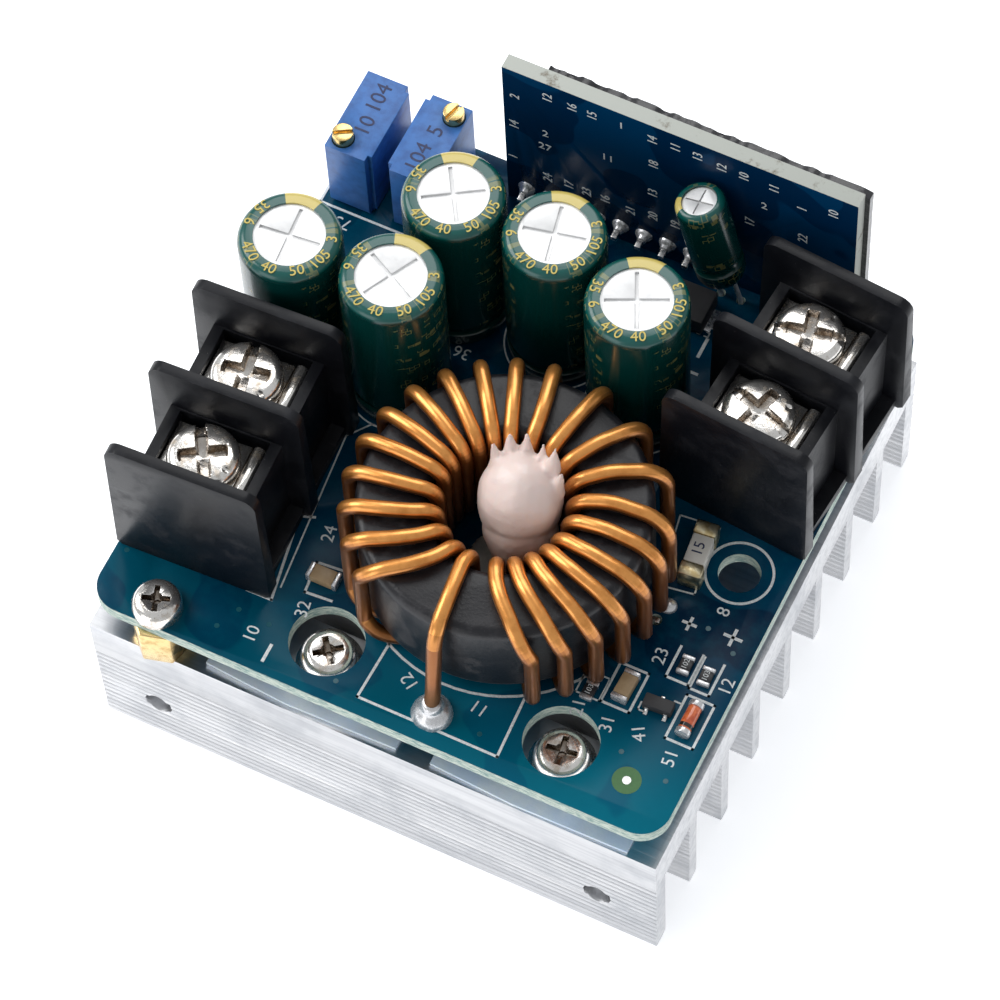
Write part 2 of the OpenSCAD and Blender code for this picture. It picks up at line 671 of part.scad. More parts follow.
// Screw with a combined cross and slot, turned by spin
module clamp_screw(spin) {
    depth = clamp_head_h * 0.55;
    shank_l = plate_z - 2;
    translate([clamp_x, 0, plate_z + plate_t]) rotate(spin) {
        difference() {
            pan_head(clamp_head_d, clamp_head_h);
            translate([0, 0, clamp_head_h]) {
                cross_recess(clamp_head_d * 0.6, depth);
                translate([-clamp_head_d, -clamp_head_d * 0.07, -depth * 0.6])
                    cube([2 * clamp_head_d, clamp_head_d * 0.14, depth]);
            }
        }
        translate([0, 0, -shank_l]) cylinder(h = shank_l + eps, d = clamp_screw_d);
    }
}

module housing_at(b) {
    color([0.14, 0.15, 0.17]) at_block(b) terminal_block();
}

module contacts_at(b) {
    color([0.78, 0.74, 0.66]) at_block(b) contacts();
}

module clamp_at(b, side) {
    color([0.78, 0.77, 0.74]) at_block(b) translate([0, side * pitch / 2, 0]) clamp_plate();
}

module clamp_screw_at(b, side, spin) {
    color([0.8, 0.78, 0.75]) at_block(b) translate([0, side * pitch / 2, 0]) clamp_screw(spin);
}

// ---------------------------------------------------------------- trimmers

// Places of the six trimmer pins
function trimmer_pin_places() = concat(
    [for (k = [-1 : 1]) trimmer_1 + [trim_w - trim_pin_inset, trim_l / 2 + k * pin_pitch]],
    [for (k = [-1 : 1]) trimmer_2 + [trim_pin_inset, trim_l / 2 + k * pin_pitch]]);

// Trimmer with its near left corner at p; flip turns it half way round
module at_trimmer(p, flip) {
    translate([p[0] + trim_w / 2, p[1] + trim_l / 2, board_z]) rotate(flip ? 180 : 0)
        translate([-trim_w / 2, -trim_l / 2, 0]) children();
}

module trimmer_housing() {
    notch = [0.45, 0.7];
    difference() {
        union() {
            translate([0, 0, trim_foot]) cube([trim_w, trim_l, trim_h - trim_foot]);
            for (y = [0, trim_l - 1.4]) translate([0.3, y + 0.2, 0]) cube([trim_w - 0.6, 1, trim_foot + eps]);
        }
        translate([trim_screw_inset[0], trim_screw_inset[1], trim_h - trim_screw_in])
            cylinder(h = trim_screw_in + cut, d = trim_screw_d + 0.16);
        for (y = [-cut, trim_l - notch[1]])
            translate([trim_w - notch[0], y, -cut]) cube([notch[0] + cut, notch[1] + cut, trim_h + 2 * cut]);
    }
}

module trimmer_screw(spin) {
    translate([trim_screw_inset[0], trim_screw_inset[1], trim_h - trim_screw_in + 0.1]) rotate(spin)
        difference() {
            cylinder(h = trim_screw_in + trim_screw_up - 0.1, d = trim_screw_d);
            translate([-trim_screw_d, -0.2, trim_screw_in + trim_screw_up - 0.6])
                cube([2 * trim_screw_d, 0.4, 2]);
        }
}

module trimmer_pins() {
    color([0.75, 0.75, 0.75]) for (p = trimmer_pin_places())
        translate([p[0], p[1], board_z0 - tail]) cylinder(h = board_t + tail + trim_foot, d = 0.5);
}

// ---------------------------------------------------------------- control board

function ctrl_pin_at(k) = ctrl_pin_x + k * pin_pitch;

module control_board() {
    color([0.02, 0.14, 0.32]) difference() {
        translate([ctrl_x - ctrl_w / 2, ctrl_y, board_z]) cube([ctrl_w, ctrl_t, ctrl_h]);
        for (k = [0 : ctrl_pins - 1]) translate([ctrl_pin_at(k), ctrl_y - cut, board_z + ctrl_pin_z])
            rotate([-90, 0, 0]) cylinder(h = ctrl_t + 2 * cut, d = 1.1);
    }
}

// Black strip behind the control board that holds its pins
module control_header() {
    l = ctrl_pins * pin_pitch;
    color([0.1, 0.1, 0.1]) difference() {
        translate([ctrl_pin_x - pin_pitch / 2, ctrl_y + ctrl_t + 0.05, board_z]) cube([l, header_t, header_h]);
        for (k = [0 : ctrl_pins - 1]) translate([ctrl_pin_at(k), ctrl_leg_y, board_z - cut])
            block([ctrl_pin_w + 0.1, ctrl_pin_w + 0.1, header_h + 2 * cut]);
    }
}

// Square pins bent through the control board
module control_pins() {
    w = ctrl_pin_w;
    front = ctrl_y - 1.7;
    color([0.82, 0.8, 0.76]) for (k = [0 : ctrl_pins - 1]) translate([ctrl_pin_at(k) - w / 2, 0, 0]) {
        translate([0, front, board_z + ctrl_pin_z - w / 2]) cube([w, ctrl_leg_y + w / 2 - front, w]);
        translate([0, ctrl_leg_y - w / 2, board_z0 - tail]) cube([w, w, board_t + tail + ctrl_pin_z]);
    }
}

// Black compound spread over the parts on the control board's back
module control_potting() {
    bottom = 4.2;
    h = ctrl_h - 0.5 - bottom;
    color([0.07, 0.07, 0.08])
        translate([ctrl_x - ctrl_w / 2 + 1.5, ctrl_y + ctrl_t, board_z + bottom]) cube([ctrl_w - 1, 1, h]);
}

// ---------------------------------------------------------------- small parts on the board

// Frame of a small part: its middle on the board's top, turned by a
module on_board(p, a) {
    translate([p[0], p[1], board_z]) rotate(a) children();
}

fuse_place = [21.35, -2.1, 96];
fuse_size = [6.1, 2.3, 2.6];
fuse_cap_l = 1.5;
resistor_size = [2, 1.25, 0.55];
resistor_places = [[17.95, -18.9, 90], [24.96, -12.7, 92], [27.2, -13, 92]];
ceramic_size = [3.2, 1.6, 1.1];
ceramic_places = [[20.9, -17.2, 88], [-9.85, -18.9, 0]];
chip_end_l = 0.45;
transistor_place = [24.5, -17.65, 3];
diode_place = [27.75, -17.8, 90];
diode_d = 1.5;
diode_l = 3.6;
diode_cap_l = 0.55;
power_diode_place = [8.5, ctrl_y - 4.65, 0];
power_diode_size = [5.4, 3.9, 2.4];

module fuse() {
    color([0.93, 0.9, 0.84]) on_board(fuse_place, fuse_place[2])
        translate([0, 0, 0.1])
            block([fuse_size[0] - 2 * fuse_cap_l, fuse_size[1] - 0.2, fuse_size[2] - 0.2]);
}

module fuse_caps() {
    color([0.78, 0.68, 0.42]) on_board(fuse_place, fuse_place[2]) for (s = [-1, 1])
        translate([s * (fuse_size[0] - fuse_cap_l) / 2, 0, 0]) block([fuse_cap_l, fuse_size[1], fuse_size[2]]);
}

// Body of a chip part between its metal ends
module chip_body(size) {
    translate([0, 0, 0.03]) block([size[0] - 2 * chip_end_l, size[1] - 0.06, size[2] - 0.06]);
}

module chip_resistors() {
    color([0.12, 0.12, 0.13]) for (p = resistor_places) on_board(p, p[2]) chip_body(resistor_size);
}

module chip_capacitors() {
    color([0.66, 0.53, 0.36]) for (p = ceramic_places) on_board(p, p[2]) chip_body(ceramic_size);
}

module chip_ends() {
    color([0.8, 0.79, 0.77]) {
        for (p = resistor_places, s = [-1, 1]) on_board(p, p[2])
            translate([s * (resistor_size[0] - chip_end_l) / 2, 0, 0])
                block([chip_end_l, resistor_size[1], resistor_size[2]]);
        for (p = ceramic_places, s = [-1, 1]) on_board(p, p[2])
            translate([s * (ceramic_size[0] - chip_end_l) / 2, 0, 0])
                block([chip_end_l, ceramic_size[1], ceramic_size[2]]);
    }
}

module signal_transistor() {
    color([0.1, 0.1, 0.11]) on_board(transistor_place, transistor_place[2])
        translate([0, 0, 0.1]) block([2.9, 1.3, 1]);
}

// Legs of the transistor: two in front and one behind
module transistor_legs() {
    color([0.8, 0.79, 0.77]) on_board(transistor_place, transistor_place[2])
        for (p = [[-0.95, -1], [0.95, -1], [0, 1]]) translate([p[0], 0, 0]) {
            translate([-0.2, p[1] > 0 ? 0.65 : -1.2, 0]) cube([0.4, 0.55, 0.15]);
            translate([-0.2, p[1] > 0 ? 0.65 : -0.8, 0]) cube([0.4, 0.15, 0.6]);
        }
}

module glass_diode() {
    color([0.75, 0.25, 0.15]) on_board(diode_place, diode_place[2]) translate([0, 0, diode_d / 2])
        rotate([0, 90, 0]) cylinder(h = diode_l - 2 * diode_cap_l, d = diode_d - 0.15, center = true);
}

module diode_caps() {
    on_board(diode_place, diode_place[2]) for (s = [-1, 1])
        translate([s * (diode_l - diode_cap_l) / 2, 0, diode_d / 2]) rotate([0, 90, 0])
            cylinder(h = diode_cap_l, d = diode_d, center = true);
}

module power_diode() {
    color([0.12, 0.12, 0.13]) on_board(power_diode_place, power_diode_place[2])
        translate([0, 0, 0.2])
            block([power_diode_size[0], power_diode_size[1], power_diode_size[2] - 0.2]);
}

// Metal ends of the glass diode and the flat tabs of the power diode
module diode_tabs() {
    color([0.8, 0.79, 0.77]) {
        diode_caps();
        on_board(power_diode_place, power_diode_place[2]) block([power_diode_size[0] + 1.2, 2.6, 0.2]);
    }
}

// Solder: the mound round the coil's lead, one beside the coil, and a cone on each control pin
module solder_joints() {
    foot = coil + lead_foot[0] * [cos(lead_foot[1]), sin(lead_foot[1])];
    r = wire_hole_d / 2 + 0.05;
    mound = [[r, 0], [2.1, 0], [1.95, 0.45], [1.6, 0.9], [1.2, 1.3], [r, 1.45]];
    color([0.8, 0.8, 0.81]) {
        translate([foot[0], foot[1], board_z]) rotate_extrude() polygon(mound);
        translate([coil[0] + 16.1 * cos(8), coil[1] + 16.1 * sin(8), board_z])
            cylinder(h = 0.6, d1 = 1.7, d2 = 0.9);
        for (k = [0 : ctrl_pins - 1])
            translate([ctrl_pin_at(k), ctrl_y, board_z + ctrl_pin_z]) rotate([90, 0, 0]) difference() {
                cylinder(h = 0.8, d1 = 1.9, d2 = 1.1);
                translate([0, 0, -cut]) block([ctrl_pin_w + 0.06, ctrl_pin_w + 0.06, 1 + 2 * cut]);
            }
    }
}

// ---------------------------------------------------------------- the nodes

heatsink();
circuit_board();
standoffs();
board_screws();
thermal_pads();
power_tabs();
power_bodies();
power_leads();
package_washers();
package_screws();
inductor_core();
inductor_winding();
silicone_blob();
capacitor_can(0);  // capacitor_1_can
capacitor_can(1);  // capacitor_2_can
capacitor_can(2);  // capacitor_3_can
capacitor_can(3);  // capacitor_4_can
capacitor_can(4);  // capacitor_5_can
capacitor_sleeve(0);  // capacitor_1_sleeve
capacitor_sleeve(1);  // capacitor_2_sleeve
capacitor_sleeve(2);  // capacitor_3_sleeve
capacitor_sleeve(3);  // capacitor_4_sleeve
capacitor_sleeve(4);  // capacitor_5_sleeve
small_capacitor_can();
small_capacitor_sleeve();
housing_at(left_block);  // left_terminal_block
contacts_at(left_block);  // left_contacts
clamp_at(left_block, -1);  // left_clamp_front
clamp_at(left_block, 1);  // left_clamp_back
clamp_screw_at(left_block, -1, -58);  // left_screw_front
clamp_screw_at(left_block, 1, -80);  // left_screw_back
housing_at(right_block);  // right_terminal_block
contacts_at(right_block);  // right_contacts
clamp_at(right_block, -1);  // right_clamp_front
clamp_at(right_block, 1);  // right_clamp_back
clamp_screw_at(right_block, -1, -18);  // right_screw_front
clamp_screw_at(right_block, 1, 12);  // right_screw_back
color([0.15, 0.3, 0.65]) at_trimmer(trimmer_1, false) trimmer_housing();
color([0.15, 0.3, 0.65]) at_trimmer(trimmer_2, true) trimmer_housing();
color([0.8, 0.62, 0.3]) at_trimmer(trimmer_1, false) trimmer_screw(30);  // trimmer_1_screw
color([0.8, 0.62, 0.3]) at_trimmer(trimmer_2, true) trimmer_screw(75);  // trimmer_2_screw
trimmer_pins();
control_board();
control_header();
control_pins();
control_potting();
fuse();
fuse_caps();
chip_resistors();
chip_capacitors();
chip_ends();
signal_transistor();
transistor_legs();
glass_diode();
power_diode();
diode_tabs();
solder_joints();
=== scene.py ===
import bmesh
import bpy
import json
import math
from mathutils import Matrix, Vector, noise


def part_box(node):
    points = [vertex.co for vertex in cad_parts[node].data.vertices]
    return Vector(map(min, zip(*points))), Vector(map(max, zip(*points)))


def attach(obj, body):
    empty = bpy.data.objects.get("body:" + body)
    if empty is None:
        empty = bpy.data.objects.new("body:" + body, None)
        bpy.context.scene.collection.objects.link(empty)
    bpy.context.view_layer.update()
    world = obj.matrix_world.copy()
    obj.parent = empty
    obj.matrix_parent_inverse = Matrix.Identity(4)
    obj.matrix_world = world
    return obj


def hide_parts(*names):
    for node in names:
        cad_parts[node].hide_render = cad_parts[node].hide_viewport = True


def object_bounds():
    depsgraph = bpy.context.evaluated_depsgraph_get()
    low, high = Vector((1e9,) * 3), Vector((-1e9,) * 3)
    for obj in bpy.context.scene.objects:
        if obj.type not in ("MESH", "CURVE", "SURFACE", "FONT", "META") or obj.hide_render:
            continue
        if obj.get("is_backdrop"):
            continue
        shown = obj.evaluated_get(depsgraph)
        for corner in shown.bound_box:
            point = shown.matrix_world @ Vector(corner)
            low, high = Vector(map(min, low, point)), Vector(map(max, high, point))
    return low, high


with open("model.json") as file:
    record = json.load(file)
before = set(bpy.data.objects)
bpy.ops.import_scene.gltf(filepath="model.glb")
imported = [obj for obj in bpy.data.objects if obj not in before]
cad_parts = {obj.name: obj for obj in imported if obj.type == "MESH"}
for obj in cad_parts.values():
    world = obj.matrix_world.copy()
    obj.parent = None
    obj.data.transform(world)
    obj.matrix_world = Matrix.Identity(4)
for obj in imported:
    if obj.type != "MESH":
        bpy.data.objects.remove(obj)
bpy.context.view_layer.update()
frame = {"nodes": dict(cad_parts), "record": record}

# ------------------------------------------------------------------------------ heat sink
# One aluminium extrusion sawn to length: nine fins hang from a thick plate. Its skin is bright
# and finely ribbed along the fins, with die lines, dull patches and scratches from handling.


class Finish:
    """A surface finish. Its patterns are laid out in millimetres on the piece's own coordinates."""

    def __init__(self, name, colour, metallic=0.0, roughness=0.5, **sockets):
        self.material = bpy.data.materials.new(name)
        self.material.use_nodes = True
        self.tree = self.material.node_tree
        self.shader = self.tree.nodes["Principled BSDF"]
        self.put("Base Color", (*colour, 1))
        self.put("Metallic", metallic)
        self.put("Roughness", roughness)
        for name, value in sockets.items():
            self.put(name.replace("_", " "), value)
        self.place = self.add("TexCoord").outputs["Object"]
        self.relief = None

    def put(self, socket, value):
        self.feed(self.shader.inputs[socket], value)

    def colour(self, factor, a, b):
        """Base colour a where factor is 0 and b where it is 1."""
        self.put("Base Color", self.tone(factor, a, b))

    def polish(self, *steps):
        """Roughness by a step, as in step()."""
        self.put("Roughness", self.step(*steps))

    def feed(self, socket, value):
        if isinstance(value, bpy.types.NodeSocket):
            self.tree.links.new(value, socket)
        else:
            socket.default_value = value

    def add(self, kind, inputs=None, **settings):
        node = self.tree.nodes.new("ShaderNode" + kind)
        for key, value in settings.items():
            setattr(node, key, value)
        for key, value in (inputs or {}).items():
            self.feed(node.inputs[key], value)
        return node

    def spot(self, stretch=(1, 1, 1), turn=(0, 0, 0), move=(0, 0, 0)):
        """Coordinates in millimetres, stretched, turned (radians) and moved."""
        scale = [1000 * s for s in stretch]
        return self.add("Mapping", {"Location": move, "Rotation": turn, "Scale": scale,
                                    "Vector": self.place}).outputs[0]

    def grain(self, scale, detail=3.0, rough=0.55, **where):
        return self.add("TexNoise", {"Vector": self.spot(**where), "Scale": scale, "Detail": detail,
                                     "Roughness": rough}).outputs["Fac"]

    def cells(self, scale, place=None, distance="EUCLIDEAN", **where):
        """Distance from the middles of scattered cells, at place or at the piece's own coordinates."""
        spot = self.spot(**where) if place is None else place
        return self.add("TexVoronoi", {"Vector": spot, "Scale": scale}, distance=distance).outputs["Distance"]

    def axes(self, **where):
        return self.add("SeparateXYZ", {0: self.spot(**where)}).outputs

    def math(self, operation, a, b=0.0, clamp=False):
        return self.add("Math", {0: a, 1: b}, operation=operation, use_clamp=clamp).outputs[0]

    def step(self, value, low, high, out_low=0.0, out_high=1.0):
        """value taken from low..high to out_low..out_high, smoothly and clamped."""
        return self.add("MapRange", {"Value": value, "From Min": low, "From Max": high,
                                     "To Min": out_low, "To Max": out_high},
                        interpolation_type="SMOOTHSTEP").outputs[0]

    def between(self, value, low, high, soft=0.05):
        """1 where value lies between low and high, 0 elsewhere."""
        return self.math("MULTIPLY", self.step(value, low - soft, low + soft),
                         self.step(value, high + soft, high - soft))

    def tone(self, factor, a, b):
        """Colour a where factor is 0 and colour b where it is 1."""
        a, b = [(*c, 1) if isinstance(c, (tuple, list)) else c for c in (a, b)]
        return self.add("Mix", {0: factor, 6: a, 7: b}, data_type="RGBA").outputs[2]

    def hollow(self, reach_mm, low=0.35, high=0.8):
        """1 in narrow recesses, 0 on open faces: the mask for painted shade in recesses."""
        shut = self.add("AmbientOcclusion", {"Distance": reach_mm / 1000}, samples=6, only_local=True)
        return self.step(shut.outputs["AO"], high, low)

    def facing(self, axis):
        """How squarely the surface faces along an axis, either way."""
        normal = self.add("NewGeometry").outputs["True Normal"]
        return self.math("ABSOLUTE", self.add("SeparateXYZ", {0: normal}).outputs[axis])

    def bump(self, height, depth_mm, strength=1.0):
        node = self.add("Bump", {"Height": height, "Strength": strength, "Distance": depth_mm / 1000})
        if self.relief is not None:
            self.feed(node.inputs["Normal"], self.relief)
        self.relief = node.outputs[0]
        self.put("Normal", self.relief)


def box_mm(node):
    """Lowest and highest corner of a CAD node, in millimetres."""
    return [corner * 1000 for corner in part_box(node)]


def in_scene(name, data):
    """A new object, linked into the scene."""
    thing = bpy.data.objects.new(name, data)
    bpy.context.scene.collection.objects.link(thing)
    return thing


def piece_from(name, work):
    """A new object with the bmesh's faces. The bmesh is freed."""
    mesh = bpy.data.meshes.new(name)
    work.to_mesh(mesh)
    work.free()
    return in_scene(name, mesh)


def plain_mesh(thing):
    """The object's mesh with its modifiers applied, as a new mesh."""
    bpy.context.view_layer.update()
    view = bpy.context.evaluated_depsgraph_get()
    mesh = bpy.data.meshes.new_from_object(thing.evaluated_get(view))
    mesh.name = thing.name
    return mesh


def apply_modifiers(piece):
    """Gives the object its plain mesh in place of its modifiers."""
    mesh = plain_mesh(piece)
    piece.modifiers.clear()
    piece.data = mesh


same_point = 2e-6                       # metres between corners that are one
flat_within = math.radians(0.6)         # turn between two faces that are one


def soften(mesh, angle):
    """Smooth shading, broken where two faces meet at more than angle."""
    work = bmesh.new()
    work.from_mesh(mesh)
    for face in work.faces:
        face.smooth = True
    for edge in work.edges:
        edge.smooth = len(edge.link_faces) == 2 and edge.calc_face_angle(0) < math.radians(angle)
    work.to_mesh(mesh)
    work.free()


def dressed(node, finish, body="module", edge=0.1, sharp=35, flat_faces=True):
    """A CAD piece with its edges eased by edge (mm), in its finish and in the CAD piece's place.

    flat_faces joins the triangles of each flat face. A face with deep notches is better left in triangles.
    """
    work = bmesh.new()
    work.from_mesh(frame["nodes"][node].data)
    bmesh.ops.remove_doubles(work, verts=work.verts, dist=same_point)
    if flat_faces:
        bmesh.ops.dissolve_limit(work, angle_limit=flat_within, verts=work.verts, edges=work.edges)
    piece = piece_from(node + "_dressed", work)
    if edge:
        ease = piece.modifiers.new("eased edges", "BEVEL")
        ease.width = edge / 1000
        ease.segments = 2
        ease.limit_method = "ANGLE"
        ease.angle_limit = math.radians(sharp)
        ease.use_clamp_overlap = True
        apply_modifiers(piece)
    soften(piece.data, sharp)
    return finished(piece, finish, body, node)


def finished(piece, finish, body="module", *nodes, slot=None):
    """Gives a piece its finish and its body, and hides the CAD nodes that it stands for."""
    piece.data.materials.clear()
    piece.data.materials.append(finish.material)
    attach(piece, body)
    if nodes:
        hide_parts(*nodes)
        rows = {row["node"]: row["material_slot"] for row in frame["record"]["subparts"]}
        slot = slot or rows[nodes[0]]
    return piece


base_under = 13.0                       # height of the plate's underside between the fins
rib_pitch = 0.9                         # of the fine ribs along the fins

mill = Finish("mill aluminium", (0.86, 0.865, 0.875), 1.0, 0.3)
die_lines = mill.grain(1.0, 4, 0.6, stretch=(0.02, 2.2, 2.2))
dull = mill.step(mill.grain(0.16, 5, 0.6), 0.42, 0.72)
scratches = mill.step(mill.grain(0.5, 2, 0.5, stretch=(0.06, 6, 6), turn=(0.2, 0.1, 0.35)), 0.66, 0.74)
streak = mill.step(mill.grain(0.9, 4, 0.65, stretch=(0.03, 1.5, 1.5)), 0.4, 0.68)
mill_tone = mill.tone(dull, (0.72, 0.72, 0.73), (0.57, 0.58, 0.6))
# Painted shade: the skin is darkened in narrow recesses between the ribs and fins.
mill_tone = mill.tone(mill.hollow(0.7, 0.75, 0.97), mill_tone, (0.33, 0.34, 0.36))
mill.colour(mill.math("MULTIPLY", streak, 0.5), mill_tone, (0.42, 0.43, 0.45))
mill_rough = mill.step(dull, 0, 1, 0.34, 0.46)
mill.put("Roughness", mill.math("ADD", mill_rough, mill.math("MULTIPLY", scratches, 0.12)))
mill.bump(die_lines, 0.03, 0.5)
mill.bump(scratches, 0.01, 0.4)
ridge = mill.math("SINE", mill.math("MULTIPLY", mill.axes()[2], 2 * math.pi / rib_pitch))
on_fins = mill.math("MULTIPLY", mill.facing(1), mill.step(mill.axes()[2], base_under, base_under - 0.2))
mill.bump(mill.math("MULTIPLY", ridge, on_fins), 0.06, 0.6)
dressed("heatsink", mill, edge=0.16, sharp=50)

# ------------------------------------------------------------------------------ standoffs and their screws
# Hex standoffs turned from brass bar, screwed into the heat sink. The board lies on them and is
# held by nickel-plated pan-head screws with a cross recess, brownish where the plating is thin. The recess
# carries painted dark brown shade.

brass = Finish("turned brass", (0.82, 0.6, 0.27), 1.0, 0.28)
tarnish = brass.step(brass.grain(0.9, 4), 0.4, 0.7)
brass.colour(tarnish, (0.86, 0.65, 0.31), (0.6, 0.4, 0.16))
brass.polish(tarnish, 0, 1, 0.22, 0.42)
brass.bump(brass.grain(3, 3, stretch=(1, 1, 8)), 0.02, 0.5)
dressed("standoffs", brass, edge=0.15)


def plated_steel(name, thin_plate):
    """Nickel plate over steel; thin_plate is the brownish colour on worn spots. Recesses get painted dark
    brown shade.
    """
    plate = Finish(name, (0.9, 0.87, 0.82), 0.95, 0.22)
    worn = plate.step(plate.grain(0.8, 5, 0.65), 0.46, 0.72)
    pits = plate.step(plate.grain(5, 3, 0.6), 0.62, 0.72)
    tint = plate.tone(worn, (0.95, 0.92, 0.88), thin_plate)
    tint = plate.tone(plate.math("MULTIPLY", pits, 0.7), tint, (0.22, 0.17, 0.12))
    # Painted shade: recesses such as the screw's cross are darkened to dark brown.
    plate.colour(plate.math("MULTIPLY", plate.hollow(1.3, 0.4, 0.85), 0.85), tint, (0.16, 0.11, 0.065))
    plate.polish(worn, 0, 1, 0.16, 0.36)
    plate.bump(plate.grain(2.2, 4), 0.03, 0.5)
    return plate


nickel = plated_steel("nickel plate", (0.56, 0.48, 0.39))
dressed("board_screws", nickel, edge=0.12, sharp=30)

# ------------------------------------------------------------------------------ power packages
# Two moulded packages lie under the board on pale blue heat-conducting sheets. Screws with a flat
# and a spring washer hold their metal tabs down, reached through round openings in the board.

sheet = Finish("heat conducting sheet", (0.62, 0.74, 0.92), 0.0, 0.55, Subsurface_Weight=0.15)
sheet.put("Subsurface Radius", (0.001, 0.0012, 0.002))
weave = sheet.grain(3.5, 2, stretch=(1, 1, 0.2))
sheet.colour(sheet.step(sheet.grain(0.25, 3), 0.35, 0.7), (0.84, 0.93, 1.0), (0.7, 0.83, 1.0))
sheet.bump(weave, 0.03, 0.6)

tab_metal = Finish("tinned tab", (0.66, 0.66, 0.67), 1.0, 0.42)
tab_metal.colour(tab_metal.grain(0.6, 4), (0.72, 0.72, 0.73), (0.5, 0.5, 0.5))
tab_metal.bump(tab_metal.grain(4, 3), 0.02, 0.5)


def sheet_piece(name, loops, z, thickness, finish, *nodes, slot=None):
    """Flat pieces of one thickness (mm), each from an outline whose points run anticlockwise."""
    work = bmesh.new()
    for loop in loops:
        base = [work.verts.new((x / 1000, y / 1000, z / 1000)) for x, y in loop]
        top = [work.verts.new((x / 1000, y / 1000, (z + thickness) / 1000)) for x, y in loop]
        work.faces.new(top)
        work.faces.new(base[::-1])
        for k in range(len(loop)):
            j = (k + 1) % len(loop)
            work.faces.new((base[k], base[j], top[j], top[k]))
    return finished(piece_from(name, work), finish, "module", *nodes, slot=slot)


pad_low, pad_high = box_mm("thermal_pads")
pad_front = box_mm("heatsink")[0].y + 0.15
left_pad = [(pad_low.x, pad_front + 0.9), (-9, pad_front + 0.25), (2.6, pad_front + 0.5),
            (3.1, pad_high.y), (-17, pad_high.y - 0.6)]
right_pad = [(6.2, pad_front + 0.5), (15, pad_front), (pad_high.x, pad_front + 0.15),
             (pad_high.x - 0.4, pad_high.y), (5.8, pad_high.y - 0.3)]
pad_t = pad_high.z - pad_low.z
sheet_piece("heat_sheets", [left_pad, right_pad], pad_low.z, pad_t, sheet, "thermal_pads")
dressed("power_tabs", tab_metal, edge=0.1)

mould = Finish("moulded epoxy", (0.03, 0.03, 0.033), 0.0, 0.55)
mould.colour(mould.grain(0.7, 4), (0.022, 0.022, 0.025), (0.06, 0.06, 0.062))
mould.bump(mould.grain(9, 2), 0.02, 0.6)
dressed("power_bodies", mould, edge=0.15)

tinned = Finish("tinned copper", (0.84, 0.83, 0.81), 1.0, 0.26)
tinned.polish(tinned.grain(2, 3), 0.3, 0.7, 0.18, 0.4)
tinned.bump(tinned.grain(6, 3), 0.02, 0.5)
dressed("power_leads", tinned, edge=0.06)
dressed("package_washers", plated_steel("washer plate", (0.5, 0.45, 0.4)), edge=0.08)
dressed("package_screws", nickel, edge=0.12, sharp=30)

# ------------------------------------------------------------------------------ circuit board
# Glass-fibre laminate with a glossy teal solder mask over wide copper areas. White ink marks where
# parts go, with plain numbers and signs. The sawn edges show the pale laminate.

board_low, board_high = box_mm("circuit_board")
board_top = board_high.z
free_hole = Vector((25.4, -1.65))
coil_axis = Vector((5.2, -10.0))

mask = Finish("solder mask", (0.0, 0.1, 0.18), 0.0, 0.26)
mask.put("Specular IOR Level", 0.1)
pour = mask.step(mask.grain(0.11, 1.5, 0.4), 0.47, 0.49)
mottled = mask.step(mask.grain(0.5, 5, 0.6), 0.35, 0.75)
board_x, board_y = mask.axes()[:2]
# Painted reflection: the mask is painted brighter towards the front and the left, brightest at the front
# right, and darker at the back, over the real copper pours.
bright_reflection_left = mask.math("MULTIPLY", mask.step(board_x, -17, -27), 0.5)
bright_reflection_front = mask.math("ADD", mask.step(board_y, -14, -29), bright_reflection_left, True)
pour_in_dark_reflection = mask.tone(pour, (0.0, 0.022, 0.06), (0.0, 0.045, 0.1))
pour_in_left_reflection = mask.tone(pour, (0.0, 0.05, 0.1), (0.0, 0.075, 0.125))
pour_in_right_reflection = mask.tone(pour, (0.0, 0.11, 0.185), (0.001, 0.145, 0.215))
pour_in_bright_reflection = mask.tone(mask.step(board_x, -18, 22), pour_in_left_reflection, pour_in_right_reflection)
pour_mottle_and_reflection = mask.tone(bright_reflection_front, pour_in_dark_reflection, pour_in_bright_reflection)
pour_mottle_and_reflection = mask.tone(mask.math("MULTIPLY", mottled, 0.3), pour_mottle_and_reflection, (0.0, 0.11, 0.17))
layers = mask.step(mask.grain(1.2, 4, 0.7, stretch=(1, 1, 6)), 0.4, 0.66)
laminate = mask.tone(layers, (0.62, 0.68, 0.6), (0.17, 0.3, 0.29))
cut_edge = mask.step(mask.facing(2), 0.6, 0.4)
mask.colour(cut_edge, pour_mottle_and_reflection, laminate)
mask.polish(cut_edge, 0, 1, 0.26, 0.7)
mask.bump(mask.grain(0.8, 3), 0.02, 0.35)
dressed("circuit_board", mask, edge=0.08)


def line(start, end, width):
    """Outline of a straight printed line."""
    a, b = Vector(start), Vector(end)
    side = Vector((a.y - b.y, b.x - a.x)).normalized() * width / 2
    along = (b - a).normalized() * width / 2
    return [a - along - side, b + along - side, b + along + side, a - along + side]


def lines(points, width, closed=False):
    """Outlines of the straight printed lines that join one point to the next."""
    ends = points[1:] + points[:1] if closed else points[1:]
    return [line(a, b, width) for a, b in zip(points, ends)]


def frame_lines(low, high, width):
    """Outlines of the four sides of a printed rectangle."""
    return lines([low, (high[0], low[1]), high, (low[0], high[1])], width, closed=True)


def plus_sign(x, y, arm, width):
    """Outlines of the two bars of a printed plus sign."""
    return [line((x - arm, y), (x + arm, y), width), line((x, y - arm), (x, y + arm), width)]


def on_circle(centre, radius, degrees):
    a = math.radians(degrees)
    return Vector(centre) + radius * Vector((math.cos(a), math.sin(a)))


